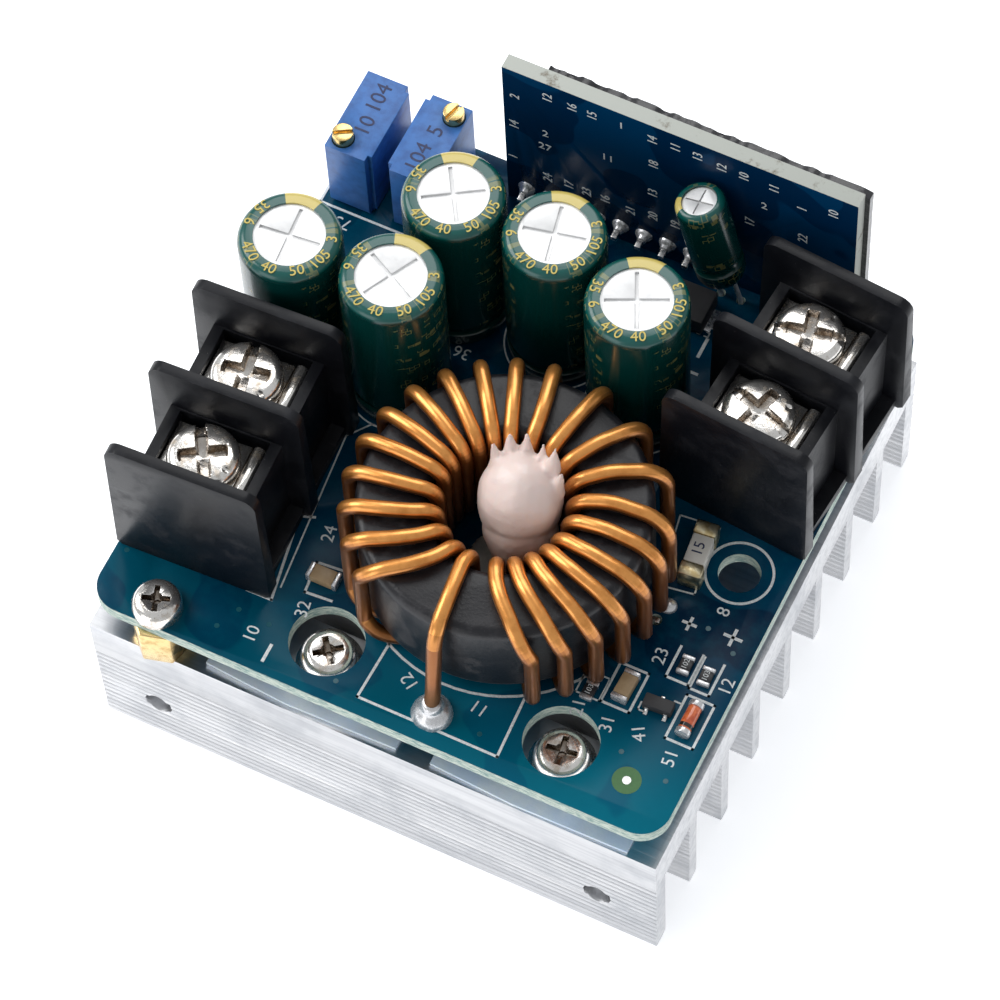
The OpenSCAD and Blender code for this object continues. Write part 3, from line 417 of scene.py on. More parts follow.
def arc_line(centre, radius, start, end, width):
    """Outlines of the short straight stretches of a printed arc, angles in degrees."""
    n = round((end - start) / 6)
    turns = [start + (end - start) * k / n for k in range(n + 1)]
    inside, outside = [[on_circle(centre, radius + side * width / 2, turn) for turn in turns]
                       for side in (-1, 1)]
    return [[inside[k], outside[k], outside[k + 1], inside[k + 1]] for k in range(n)]


def upward(loops):
    """The same outlines, all turned anticlockwise."""
    def area(loop):
        return sum(a[0] * b[1] - b[0] * a[1] for a, b in zip(loop, loop[1:] + loop[:1]))
    return [loop if area(loop) > 0 else loop[::-1] for loop in loops]


ink = Finish("white ink", (0.86, 0.88, 0.87), 0.0, 0.6)
ink.colour(ink.step(ink.grain(4, 3), 0.3, 0.75), (0.9, 0.91, 0.9), (0.6, 0.68, 0.7))
ink.bump(ink.grain(10, 2), 0.01, 0.5)
ink_t = 0.03
wide, thin = 0.26, 0.17

ink_lines = arc_line(free_hole, 3.25, 0, 360, wide)
# Round the coil
ink_lines += lines([(-1.2, -22), (-1.45, -28.6), (13.1, -28.6), (12.8, -22.2)], wide)
ink_lines += arc_line(coil_axis, 14.0, 190, 330, wide)
# Round the chips and diodes at the front right
ink_lines += frame_lines((16.75, -19.4), (19.15, -16.9), thin)
ink_lines += frame_lines((19.3, -19.3), (22.2, -14.9), wide)
ink_lines += frame_lines((26.35, -20.2), (29.15, -15.3), wide)
ink_lines += lines([(23.7, -11.0), (23.7, -14.4), (26.0, -14.4), (26.0, -11.0)], wide)
ink_lines += lines([(26.2, -11.1), (26.2, -14.6), (28.2, -14.6), (28.2, -11.1)], wide)
ink_lines += lines([(23.4, -18.6), (22.8, -18.6), (22.8, -17.8)], thin)
ink_lines += lines([(26.2, -16.4), (25.6, -16.4)], thin)
# Round the fuse, and beside the coil and the left block
ink_lines += lines([(17.7, 1.6), (21.7, 2.0), (22.5, -5.5), (19.1, -6.0)], thin, closed=True)
ink_lines += lines([(-25.2, -23.1), (-13.4, -23.0), (-15.1, -13.9), (-13.7, -13.4)], wide)
ink_lines += lines([(-13.2, -21.4), (-15.0, -4.2), (-13.3, -2.0)], thin)
ink_lines += lines([(-8.2, -20.7), (-10.9, -20.9), (-11.3, -17.6), (-8.0, -17.3)], wide)
# Round the trimmers and the large capacitors
ink_lines += frame_lines((-29.3, 18.3), (-16.6, 28.9), wide)
for centre, start, end in (((-23.4, 3.2), 180, 400), ((9.05, 10.6), 150, 390),
                           ((-1.02, 13.85), 0, 360), ((-12.8, 3.25), 180, 380)):
    ink_lines += arc_line(centre, 5.3, start, end, thin)
# Plus and minus signs
ink_lines += plus_sign(27.7, -8.1, 0.8, 0.32) + plus_sign(23.4, -8.5, 0.6, 0.3)
ink_lines += [line((-11.2, -27.3), (-11.2, -29.0), 0.32), line((11.9, 18.1), (11.9, 20.1), 0.35),
              line((11.0, 16.2), (12.6, 16.2), 0.3)]
sheet_piece("board_ink_lines", upward(ink_lines), board_top, ink_t, ink, slot="board")


def face_up(z):
    """Place of an upward face at height z (mm)."""
    return Matrix.Translation((0, 0, z / 1000))


def figures(name, words, size, finish, face, slot="board", thickness=ink_t):
    """Plain numbers and signs printed on a face: words are (text, x, y, turn in degrees)."""
    joined = bmesh.new()
    for text, x, y, turn in words:
        letters = bpy.data.curves.new(name, "FONT")
        letters.body = text
        letters.size = size / 1000
        letters.align_x = letters.align_y = "CENTER"
        letters.resolution_u = 3
        letters.extrude = thickness / 2000
        holder = in_scene(name, letters)
        mesh = plain_mesh(holder)
        bpy.data.objects.remove(holder)
        mesh.transform(face @ Matrix.Translation((x / 1000, y / 1000, thickness / 2000))
                       @ Matrix.Rotation(math.radians(turn), 4, "Z"))
        joined.from_mesh(mesh)
        bpy.data.meshes.remove(mesh)
    return finished(piece_from(name, joined), finish, slot=slot)


board_words = [
    ("32", -10.2, -22.6, 100), ("11", 9.4, -24.8, 172), ("12", 2.3, -25.1, 150), ("21", 17.7, -20.8, 100),
    ("31", 20.9, -21.2, 100), ("23", 22.4, -12.7, 95), ("12", 29.35, -13.0, 92), ("41", 24.0, -20.8, 120),
    ("51", 27.7, -21.9, 95), ("24", -11.6, -14.4, 100), ("75", -26.2, 17.0, 180), ("36", -9.0, 8.8, 180),
    ("53", 11.2, 21.0, 180), ("10", -13.4, -27.0, 92), ("8", 25.8, -6.0, 92), ("7", -19.0, 9.4, 180)]
figures("board_numbers", board_words, 1.8, ink, face_up(board_top))

solder = Finish("solder", (0.72, 0.72, 0.73), 0.7, 0.45)
solder.colour(solder.grain(1.5, 4), (0.88, 0.88, 0.88), (0.6, 0.6, 0.62))
solder.polish(solder.grain(3, 4), 0.3, 0.7, 0.14, 0.4)
solder.bump(solder.grain(2.5, 4), 0.05, 0.5)
target = Finish("target ring", (0.05, 0.17, 0.04), 0.0, 0.35)
target.colour(target.grain(3, 3), (0.05, 0.19, 0.04), (0.03, 0.12, 0.03))


def disc(centre, radius, n=28):
    return [on_circle(centre, radius, 360 * k / n) for k in range(n)]


target_place = (25.0, -25.65)
sheet_piece("board_target_ring", [disc(target_place, 1.4)], board_top, ink_t / 2, target, slot="board")
sheet_piece("board_target", [disc(target_place, 0.42)], board_top, ink_t, solder, slot="solder")
tent = Finish("covered via", (0.003, 0.07, 0.1), 0.0, 0.3)
tent.colour(tent.grain(3, 2), (0.003, 0.06, 0.09), (0.01, 0.13, 0.16))
via_places = ((25.2, -8.2), (28.4, -9.6), (23.3, -23.2), (10.6, -27.2), (-15.7, -25.2), (-16.8, -27.6),
              (-4.0, -28.0), (28.7, 2.6), (18.3, 4.3), (28.3, -24.2), (-28.3, -24.1), (-12.4, -25.4))
vias = [disc(place, 0.26, 14) for place in via_places]
sheet_piece("board_vias", vias, board_top, 0.02, tent, slot="board")

# ------------------------------------------------------------------------------ inductor core
# A pressed powder ring in black epoxy paint, grainy and glossy, which stands on the lower half of
# its winding. Handling has left dull patches on its flat top.

core_low, core_high = box_mm("inductor_core")
paint = Finish("core paint", (0.012, 0.012, 0.015), 0.0, 0.42, Coat_Weight=0.12, Coat_Roughness=0.3)
paint.put("Specular IOR Level", 0.35)
rubbed = paint.step(paint.grain(0.35, 5, 0.65), 0.48, 0.7)
speckle = paint.step(paint.cells(3.2), 0.12, 0.05)
paint_tone = paint.tone(rubbed, (0.01, 0.01, 0.013), (0.034, 0.034, 0.038))
paint.colour(paint.math("MULTIPLY", speckle, 0.5), paint_tone, (0.11, 0.11, 0.12))
paint.polish(rubbed, 0, 1, 0.36, 0.6)
paint.bump(paint.grain(3.2, 3), 0.05, 0.6)
dressed("inductor_core", paint, edge=0)

# ------------------------------------------------------------------------------ inductor winding
# One length of thick enamelled copper wire, wound 21 times round the ring in uneven groups. Its
# first end lies over the core and is scraped and burnt brown where it is soldered to the board.

wire_r = 0.75
wire_gap = 0.15                         # between the core and the wire
wire_end = 1.2                          # how far the two ends reach below the board
bend_r = 1.9
core_bore = 14.4
core_in = core_bore / 2 - wire_gap - wire_r
core_out = (core_high.x - core_low.x) / 2 + wire_gap + wire_r
low_z = core_low.z - wire_gap - wire_r
high_z = core_high.z + wire_gap + wire_r
turns = 21
outside_steps = [(10, 13.5), (4, 20.75), (6, 11.7)]
inside_steps = [(4, 18.25), (5, 13.8), (7, 17.7), (4, 14.5)]
most_slack = 0.6                        # how far the front right turns stand off the core


def stepped(start, steps, turn):
    """Angle of a turn: each step is how many turns a group holds and the degrees between them."""
    for count, degrees in steps:
        start -= degrees * min(count, max(turn, 0))
        turn -= count
    return start


def about_coil(radius, angle, z):
    a = math.radians(angle)
    return Vector((coil_axis.x + radius * math.cos(a), coil_axis.y + radius * math.sin(a), z))


def bend_at(angle, side, up):
    """Radius of the centre of a wire's bend at an edge of the core, and the bend's own radius."""
    if side < 0:
        return core_in + bend_r, bend_r
    slack = most_slack * ((1 + math.cos(math.radians(angle + 20))) / 2) ** 1.5
    turn_r = bend_r + (0.25 + 2.4 * slack if up > 0 else 0)
    return core_out + slack - turn_r, turn_r


def crossing_at(t, inside, outside, up):
    """Radius and angle of the wire at part t of its way across the ring, from its inside (0) out."""
    start, end = bend_at(inside, -1, up)[0], bend_at(outside, 1, up)[0]
    radius = start + t * (end - start)
    part = (radius - core_in) / (core_out - core_in)
    return radius, inside + (outside - inside) * part ** 1.6


def bend_points(angle, far, side, up, bends):
    """A quarter turn of the wire at an edge of the core, wider where the turn stands off the core."""
    centre_r, turn_r = bend_at(angle, side, up)
    centre_z = high_z - turn_r if up > 0 else low_z + turn_r
    points = []
    for bend in bends:
        b = math.radians(bend)
        points.append(about_coil(centre_r + side * turn_r * math.cos(b), angle + (far - angle) * bend / 90,
                                 centre_z + up * turn_r * math.sin(b)))
    return points


rising, falling = range(0, 90, 10), range(80, -1, -10)
across = [k / 8 for k in range(1, 8)]


def over(inside, outside, z, ts):
    """Points of the wire as it crosses the ring at height z, bowed upwards on the top side."""
    up = 1 if z > core_high.z else -1
    bow = 0.3 if up > 0 else 0
    return [about_coil(*crossing_at(t, inside, outside, up), z + bow * math.sin(math.pi * t)) for t in ts]


def outer(turn):
    """Angle of a turn at the outside of the ring."""
    return stepped(-127, outside_steps, turn)


def inner(turn):
    """Angle of a turn at the inside of the ring."""
    return stepped(-107, inside_steps, turn)


# The first end's radius and angle, and the angle at which it goes down inside the ring
lead_r, lead_a, first_in = 17.1, -88.5, -93
lead = [(lead_r, lead_a, board_low.z - wire_end), (lead_r, lead_a, board_top + 1.6),
        (lead_r - 0.5, lead_a, board_top + 3.6), (core_out + 0.7, lead_a, high_z - 2.2),
        (core_out, lead_a - 0.2, high_z - 0.8), (core_out - 1.1, lead_a - 0.5, high_z + 0.05),
        (core_in + 4, lead_a - 2.5, high_z), (core_in + bend_r, first_in + 0.3, high_z)]
route = [about_coil(*place) for place in lead]
route += bend_points(first_in, first_in, -1, 1, falling)
route += bend_points(first_in, crossing_at(0, first_in, outer(0), -1)[1], -1, -1, rising)
route += over(first_in, outer(0), low_z, across)
route += bend_points(outer(0), crossing_at(1, first_in, outer(0), -1)[1], 1, -1, falling)
for turn in range(turns):
    out_a, in_a, next_a = outer(turn), inner(turn), outer(turn + 1)
    route += bend_points(out_a, crossing_at(1, in_a, out_a, 1)[1], 1, 1, rising)
    route += over(in_a, out_a, high_z, across[::-1])
    route += bend_points(in_a, crossing_at(0, in_a, out_a, 1)[1], -1, 1, falling)
    if turn < turns - 1:
        route += bend_points(in_a, crossing_at(0, in_a, next_a, -1)[1], -1, -1, rising)
        route += over(in_a, next_a, low_z, across)
        route += bend_points(next_a, crossing_at(1, in_a, next_a, -1)[1], 1, -1, falling)
route += [about_coil(core_in, inner(turns - 1), z) for z in (low_z, board_low.z - wire_end)]

enamel = Finish("copper enamel", (0.62, 0.25, 0.04), 0.75, 0.3, Coat_Weight=0.4, Coat_Roughness=0.14)
along = enamel.add("Attribute", attribute_name="along").outputs["Fac"]
streaks = enamel.step(enamel.grain(0.8, 4, 0.6), 0.35, 0.75)
wire_tone = enamel.tone(streaks, (0.9, 0.39, 0.1), (0.72, 0.28, 0.06))
# Painted shade: the wire's sides, away from its top, are darkened to brown.
painted_flank_shade = enamel.step(enamel.facing(2), 0.75, 0.05)
wire_tone = enamel.tone(enamel.math("MULTIPLY", painted_flank_shade, 0.85), wire_tone, (0.2, 0.055, 0.012))
# Painted shade: the wire darkens towards the board.
painted_shade_near_board = enamel.step(enamel.axes()[2], board_top + 6, board_top)
wire_tone = enamel.tone(painted_shade_near_board, wire_tone, (0.18, 0.06, 0.015))
burnt = enamel.step(enamel.math("ADD", along, enamel.math("MULTIPLY", enamel.grain(1.5, 3), 3.0)), 10.5, 6.5)
enamel.colour(burnt, wire_tone, (0.2, 0.1, 0.045))
enamel.polish(burnt, 0, 1, 0.3, 0.6)
enamel.put("Coat Weight", enamel.step(burnt, 0, 1, 0.3, 0.0))
enamel.bump(enamel.grain(0.9, 2), 0.02, 0.4)


def wire_along(name, points, radius, finish, sides=14):
    """A round wire swept along points (mm) by Geometry Nodes, with its length kept as 'along' (mm)."""
    curve = bpy.data.curves.new(name, "CURVE")
    curve.dimensions = "3D"
    spline = curve.splines.new("POLY")
    spline.points.add(len(points) - 1)
    for point, place in zip(spline.points, points):
        point.co = (*(place / 1000), 1)
    piece = in_scene(name, curve)
    tree = bpy.data.node_groups.new(name, "GeometryNodeTree")
    face = tree.interface
    face.new_socket("Geometry", in_out="INPUT", socket_type="NodeSocketGeometry")
    face.new_socket("Geometry", in_out="OUTPUT", socket_type="NodeSocketGeometry")
    radius_in = face.new_socket("Wire radius", in_out="INPUT", socket_type="NodeSocketFloat")
    sides_in = face.new_socket("Sides", in_out="INPUT", socket_type="NodeSocketInt")
    radius_in.default_value, sides_in.default_value = 0.0005, 12

    def add(kind, **settings):
        node = tree.nodes.new(kind)
        for key, value in settings.items():
            setattr(node, key, value)
        return node

    start, end = add("NodeGroupInput"), add("NodeGroupOutput")
    measure, length = add("GeometryNodeSplineParameter"), add("ShaderNodeMath", operation="MULTIPLY")
    store = add("GeometryNodeStoreNamedAttribute", data_type="FLOAT", domain="POINT")
    ring, sweep = add("GeometryNodeCurvePrimitiveCircle"), add("GeometryNodeCurveToMesh")
    shade, plain = add("GeometryNodeSetShadeSmooth"), add("GeometryNodeRealizeInstances")
    coat = add("GeometryNodeSetMaterial")
    length.inputs[1].default_value = 1000
    store.inputs["Name"].default_value = "along"
    coat.inputs["Material"].default_value = finish.material
    sweep.inputs["Fill Caps"].default_value = True
    for source, out, target, into in (
            (start, "Geometry", store, "Geometry"), (measure, "Length", length, 0),
            (length, 0, store, "Value"), (store, "Geometry", sweep, "Curve"),
            (start, "Wire radius", ring, "Radius"), (start, "Sides", ring, "Resolution"),
            (ring, "Curve", sweep, "Profile Curve"),
            (sweep, "Mesh", shade, "Geometry"), (shade, "Geometry", plain, "Geometry"),
            (plain, "Geometry", coat, "Geometry"), (coat, "Geometry", end, "Geometry")):
        tree.links.new(source.outputs[out], target.inputs[into])
    sweeping = piece.modifiers.new("sweep", "NODES")
    sweeping.node_group = tree
    sweeping[radius_in.identifier] = radius / 1000
    sweeping[sides_in.identifier] = sides
    mesh = plain_mesh(piece)
    bpy.data.objects.remove(piece)
    return in_scene(name, mesh)


finished(wire_along("winding_wire", route, wire_r, enamel), enamel, "module", "inductor_winding")

# ------------------------------------------------------------------------------ silicone on the coil
# Two dabs of silicone hold the coil: a tall pinkish-white lump in the middle of the ring, pulled
# into points where the nozzle left it, on a grey puddle that has spread over the board.


def lump(name, balls, finish, cell, ripple, ripple_mm, rounds, *nodes):
    """Soft blob: balls (centre, radii in mm) melted into one skin, with small ripples."""
    work = bmesh.new()
    for centre, radii in balls:
        place = Matrix.Translation(Vector(centre) / 1000) @ Matrix.Diagonal((*[r / 1000 for r in radii], 1))
        bmesh.ops.create_icosphere(work, subdivisions=3, radius=1, matrix=place)
    piece = piece_from(name, work)
    melt = piece.modifiers.new("melt", "REMESH")
    melt.mode = "VOXEL"
    melt.voxel_size = cell / 1000
    calm = piece.modifiers.new("calm", "SMOOTH")
    calm.iterations = rounds
    calm.factor = 0.6
    apply_modifiers(piece)
    for vertex in piece.data.vertices:
        vertex.co += vertex.normal * (noise.noise(vertex.co * 1000 * ripple) * ripple_mm / 1000)
    soften(piece.data, 180)
    return finished(piece, finish, "module", *nodes, slot="silicone")


silicone = Finish("silicone", (0.86, 0.72, 0.7), 0.0, 0.36, Subsurface_Weight=0.35, Coat_Weight=0.2,
                  Coat_Roughness=0.2)
silicone.put("Subsurface Radius", (0.002, 0.0012, 0.0009))
height = silicone.step(silicone.axes()[2], board_top + 3, board_top + 15)
silicone.colour(height, (0.5, 0.34, 0.26), (0.85, 0.7, 0.65))
silicone.bump(silicone.grain(0.5, 3), 0.25, 0.5)
blob_low, blob_high = box_mm("silicone_blob")
blob_mid = (blob_low + blob_high) / 2 + Vector((0.3, -0.5, 0))
top = blob_high.z + 2.6
tip_r, tip_balls = 0.95, 6
tips = [(-3.0, 1.7, 1.2), (-2.0, 2.7, 0.5), (-0.7, 3.2, 0.2), (0.8, 3.1, 0.5), (2.1, 2.6, -0.7),
        (3.1, 1.5, 1.2)]                # x, y and how far the point stops below the top
dabs = [((blob_mid.x + 0.9, blob_mid.y - 1.2, board_top + 3), (2.3, 2.3, 3.2)),
        ((blob_mid.x + 0.4, blob_mid.y - 0.7, board_top + 8.0), (3.5, 3.5, 5.2)),
        ((blob_mid.x - 0.1, blob_mid.y + 0.5, top - 6.3), (4.1, 4.1, 5.5))]
for x, y, drop in tips:
    for k in range(tip_balls):
        size = tip_r * (1 - k / 7)
        spread = 1 + 0.03 * k
        tip_z = top - 0.4 - drop - 0.55 * (tip_balls - 1 - k)
        dabs.append(((blob_mid.x + x * spread, blob_mid.y + y * spread, tip_z), (size, size, 0.85)))
lump("silicone_lump", dabs, silicone, 0.22, 0.3, 0.35, 2, "silicone_blob")

puddle = Finish("silicone puddle", (0.5, 0.47, 0.42), 0.0, 0.45, Subsurface_Weight=0.1)
puddle.colour(puddle.step(puddle.grain(0.5, 4), 0.35, 0.7), (0.44, 0.42, 0.37), (0.27, 0.28, 0.26))
puddle.bump(puddle.grain(1.0, 3), 0.1, 0.5)
pools = [((blob_mid.x - 1.6, blob_mid.y - 2.2, board_top + 0.25), (3.4, 3.2, 0.5)),
         ((blob_mid.x + 0.4, blob_mid.y - 0.4, board_top + 0.3), (3.6, 3.4, 0.6)),
         ((blob_mid.x - 2.9, blob_mid.y - 0.6, board_top + 0.2), (2.2, 2.3, 0.4))]
lump("silicone_puddle", pools, puddle, 0.2, 0.6, 0.15, 4)

# ------------------------------------------------------------------------------ capacitors
# Aluminium cans in green shrunk sleeves: five large and a small one. The sleeve turns in over the
# top as a paler ring with gold marks, round a bright lid scored with a cross that lets it vent.

gold = (0.62, 0.5, 0.13)
sleeve_dark, sleeve_ring = (0.0, 0.036, 0.032), (0.001, 0.085, 0.074)

lid = Finish("aluminium can", (0.95, 0.95, 0.95), 0.4, 0.45)
lid_tone = lid.tone(lid.step(lid.grain(0.6, 4), 0.35, 0.7), (0.95, 0.95, 0.95), (0.84, 0.84, 0.84))
# Painted shade: the lid is darkened in the scored cross and other narrow recesses.
lid.colour(lid.math("MULTIPLY", lid.hollow(0.6), 0.55), lid_tone, (0.4, 0.4, 0.4))
lid.polish(lid.grain(1.5, 4), 0.3, 0.7, 0.36, 0.5)
lid.bump(lid.grain(2.5, 3), 0.02, 0.4)


def sleeve_finish(name, centre, top_z, radius, mark_turn, tilt=0.0):
    """Printed sleeve round an axis through centre (mm), with its gold band towards mark_turn degrees."""
    film = Finish(name, sleeve_dark, 0.0, 0.24, Coat_Weight=0.3, Coat_Roughness=0.12)
    local = film.spot(move=-centre)
    for turn, axis in ((-tilt, "Y_AXIS"), (-mark_turn, "Z_AXIS")):
        local = film.add("VectorRotate", {"Vector": local, "Angle": math.radians(turn)},
                         rotation_type=axis).outputs[0]
    x, y, z = film.add("SeparateXYZ", {0: local}).outputs
    angle = film.math("ARCTAN2", y, x)
    on_top = film.step(z, top_z - 0.75, top_z - 0.45)
    wedge = film.step(film.math("ABSOLUTE", angle), 0.42, 0.40)
    unrolled = film.add("CombineXYZ", {0: film.math("MULTIPLY", angle, radius), 1: z, 2: 0.0}).outputs[0]
    strokes = film.between(film.cells(1.15, unrolled, "CHEBYCHEV"), 0.25, 0.36, 0.02)
    rows = film.between(film.math("FRACT", film.math("MULTIPLY", z, 0.42)), 0.2, 0.72, 0.03)
    flanks = film.math("MAXIMUM", film.between(angle, 1.0, 2.6), film.between(angle, -2.6, -1.0))
    side_print = film.math("MULTIPLY", film.math("MULTIPLY", strokes, rows), flanks)
    shade = film.tone(on_top, sleeve_dark, sleeve_ring)
    shade = film.tone(film.math("MULTIPLY", side_print, 0.24), shade, gold)
    film.colour(film.math("MULTIPLY", wedge, on_top), shade, gold)
    film.bump(film.grain(0.7, 3), 0.06, 0.35)
    return film


gold_ink = Finish("gold ink", (0.66, 0.53, 0.13), 0.1, 0.45)
gold_ink.colour(gold_ink.grain(1.2, 3), (0.7, 0.56, 0.14), (0.5, 0.4, 0.1))
gold_words = (("35", 150), ("6", 178), ("470", 225), ("40", 262), ("50", 300), ("105", 335), ("3", 10))
words_r = 4.08                          # radius of the printed numbers on the turned-in ring
for number, mark_turn in enumerate((99, 88, 108, 96, 104), 1):
    node = f"capacitor_{number}_sleeve"
    low, high = box_mm(node)
    centre = Vector(((low.x + high.x) / 2, (low.y + high.y) / 2, low.z))
    film = sleeve_finish(f"sleeve {number}", centre, high.z - low.z, (high.x - low.x) / 2, mark_turn)
    dressed(node, film, edge=0, sharp=50)
    dressed(f"capacitor_{number}_can", lid, edge=0.09, sharp=30)
    words = []
    for text, turn in gold_words:
        place = on_circle(centre.xy, words_r, turn + 7 * number)
        words.append((text, *place, turn + 7 * number + 90))
    figures(f"capacitor_{number}_numbers", words, 1.5, gold_ink, face_up(high.z), "sleeve", 0.06)

small_r, small_h, small_lean = 2.5, 11.4, 12.5
small_low, small_high = box_mm("small_capacitor_sleeve")
lean = math.radians(small_lean)
small_foot = Vector((small_high.x - small_r * math.cos(lean), (small_low.y + small_high.y) / 2,
                     small_low.z + small_r * math.sin(lean)))
film = sleeve_finish("small sleeve", small_foot, small_h, small_r, -150, -small_lean)
dressed("small_capacitor_sleeve", film, edge=0, sharp=50)
dressed("small_capacitor_can", lid, edge=0.06, sharp=30)

# ------------------------------------------------------------------------------ terminal blocks
# Black moulded barrier blocks for two wires each. Under every clamp plate lies a contact strip, and
# a big pan-head screw with a cross and a slot pulls the plate down on it. Dust and pale scuffs show.

barrier = Finish("black thermoplastic", (0.014, 0.015, 0.018), 0.0, 0.45)
barrier.put("Specular IOR Level", 0.25)
cloudy = barrier.step(barrier.grain(0.3, 5, 0.62), 0.4, 0.78)
dust = barrier.step(barrier.cells(1.1, stretch=(1, 1, 0.8)), 0.055, 0.03)
scuffs = barrier.grain(0.6, 3, 0.6, stretch=(0.3, 3, 2), turn=(0.3, 0.9, 0.4))
scuffs = barrier.step(scuffs, 0.68, 0.78)
body_tone = barrier.tone(cloudy, (0.0055, 0.006, 0.0085), (0.015, 0.016, 0.02))
body_tone = barrier.tone(barrier.math("MULTIPLY", scuffs, 0.5), body_tone, (0.045, 0.045, 0.05))
barrier.colour(barrier.math("MULTIPLY", dust, 0.4), body_tone, (0.25, 0.25, 0.24))
barrier.polish(cloudy, 0, 1, 0.34, 0.55)
barrier.bump(barrier.grain(5, 3), 0.02, 0.5)
clamp_plate = plated_steel("clamp plate", (0.6, 0.5, 0.38))
clamp_head = plated_steel("clamp screw", (0.5, 0.42, 0.33))

head_r, head_h, rim_r, shank_r, spokes = 3.5, 2.3, 0.8, 1.7, 168
cross_w, cross_r, cross_h = 0.62, 2.35, 1.35        # half width, reach and depth of the cross
slot_w, slot_h = 0.5, 0.75                          # half width and depth of the slot
# Degrees that each head is turned by
spins = {("left", "front"): -58, ("left", "back"): -80, ("right", "front"): -18, ("right", "back"): 12}


def driven_depth(x, y):
    """Depth (mm) of the cross and of the slot through it at x, y on a screw's head."""
    arm = min(max(abs(x) - cross_w, abs(y) - cross_r), max(abs(y) - cross_w, abs(x) - cross_r))
    cross = cross_h * min(1, max(0, -arm) / 0.2) * (1 - 0.16 * math.hypot(x, y))
    slot = slot_h * min(1, max(0, slot_w - abs(y)) / 0.14)
    dimple = 0.22 * max(0, 1 - ((x - 2.0) ** 2 + (y - 2.0) ** 2) / 0.12)
    return max(cross, slot, dimple)


def crown_drop(radius):
    """How far (mm) the head's top lies below its middle at a radius, rounded off at the rim."""
    part = min(1, max(0, radius - head_r + rim_r) / rim_r)
    return 0.28 * (radius / head_r) ** 2 + 0.85 * (1 - math.sqrt(1 - part ** 2))


def pan_screw(name, node, spin, finish, body):
    """Pan head with a cross and a slot on its shank, in the place of the CAD screw."""
    low, high = box_mm(node)
    middle = (low + high) / 2
    under = high.z - head_h
    crown = [k * 0.1 for k in range(1, 28)]
    crown += [head_r - rim_r + rim_r * math.sin(math.radians(b)) for b in range(6, 91, 12)]
    sides = [(head_r + 0.02, high.z - 1.6), (head_r, under + 0.12), (head_r - 0.12, under),
             (shank_r, under), (shank_r, low.z + 0.3), (shank_r - 0.3, low.z)]
    work = bmesh.new()

    def ring(radius, height):
        """Corners round the screw: height is a number, or a function of the place on the head."""
        corners = []
        for k in range(spokes):
            a = 2 * math.pi * k / spokes
            z = height(radius * math.cos(a), radius * math.sin(a)) if callable(height) else height
            a += math.radians(spin)
            corners.append(work.verts.new(((middle.x + radius * math.cos(a)) / 1000,
                                           (middle.y + radius * math.sin(a)) / 1000, z / 1000)))
        return corners

    rings = []
    for radius in crown:
        top_z = high.z - crown_drop(radius)
        rings.append(ring(radius, lambda x, y: max(top_z - driven_depth(x, y), under + 0.25)))
    rings += [ring(radius, height) for radius, height in sides]
    tip = work.verts.new((middle.x / 1000, middle.y / 1000, (high.z - driven_depth(0, 0)) / 1000))
    for k in range(spokes):
        j = (k + 1) % spokes
        work.faces.new((tip, rings[0][k], rings[0][j]))
        for inner_ring, outer_ring in zip(rings, rings[1:]):
            work.faces.new((inner_ring[k], outer_ring[k], outer_ring[j], inner_ring[j]))
    work.faces.new(rings[-1][::-1])
    bmesh.ops.recalc_face_normals(work, faces=work.faces)
    screw = piece_from(name, work)
    soften(screw.data, 32)
    return finished(screw, finish, body, node)


for side in ("left", "right"):
    dressed(f"{side}_terminal_block", barrier, edge=0.15, sharp=30, flat_faces=False)
    dressed(f"{side}_contacts", tinned, edge=0.08)
    for end in ("front", "back"):
        dressed(f"{side}_clamp_{end}", clamp_plate, f"{side} {end} clamp plate", edge=0.12)
        pan_screw(f"{side}_{end}_pan_screw", f"{side}_screw_{end}", spins[side, end], clamp_head,
                  f"{side} {end} terminal screw")

# ------------------------------------------------------------------------------ trimmers
# Two blue multi-turn trimmers with brass adjusting screws in their tops. Their faces carry dark
# printed numbers, and steel pins go down through the board.

blue = Finish("blue thermoplastic", (0.02, 0.12, 0.42), 0.0, 0.4)
blue.colour(blue.step(blue.grain(0.8, 4), 0.35, 0.75), (0.04, 0.17, 0.5), (0.025, 0.11, 0.36))
blue.bump(blue.grain(5, 3), 0.02, 0.4)
dark_ink = Finish("dark ink", (0.01, 0.012, 0.05), 0.0, 0.5)
dark_ink.colour(dark_ink.grain(3, 3), (0.006, 0.008, 0.04), (0.03, 0.05, 0.16))
adjuster = Finish("trimmer brass", (0.85, 0.62, 0.25), 1.0, 0.25)
adjuster.colour(adjuster.grain(2, 3), (0.9, 0.68, 0.3), (0.62, 0.42, 0.16))
adjuster.bump(adjuster.grain(6, 2), 0.02, 0.4)
for number, second_word, way in ((1, "10", 1), (2, "5", -1)):
    dressed(f"trimmer_{number}", blue, edge=0.16)
    dressed(f"trimmer_{number}_screw", adjuster, f"trimmer {number} screw", edge=0.1)
    low, high = box_mm(f"trimmer_{number}")
    middle = (low + high) / 2
    words = [("104", middle.x, middle.y + 2.3 * way, 90),
             (second_word, middle.x + 0.2, middle.y - 1.1 * way, 90)]
    figures(f"trimmer_{number}_figures", words, 2.3, dark_ink, face_up(high.z), "trimmer_plastic")
dressed("trimmer_pins", tinned, edge=0)

# ------------------------------------------------------------------------------ control board
# An upright board under a navy solder mask, with bare sawn edges. Small white numbers lie on its
# face. Its pins are bent through it, and a black compound covers the parts on its back.

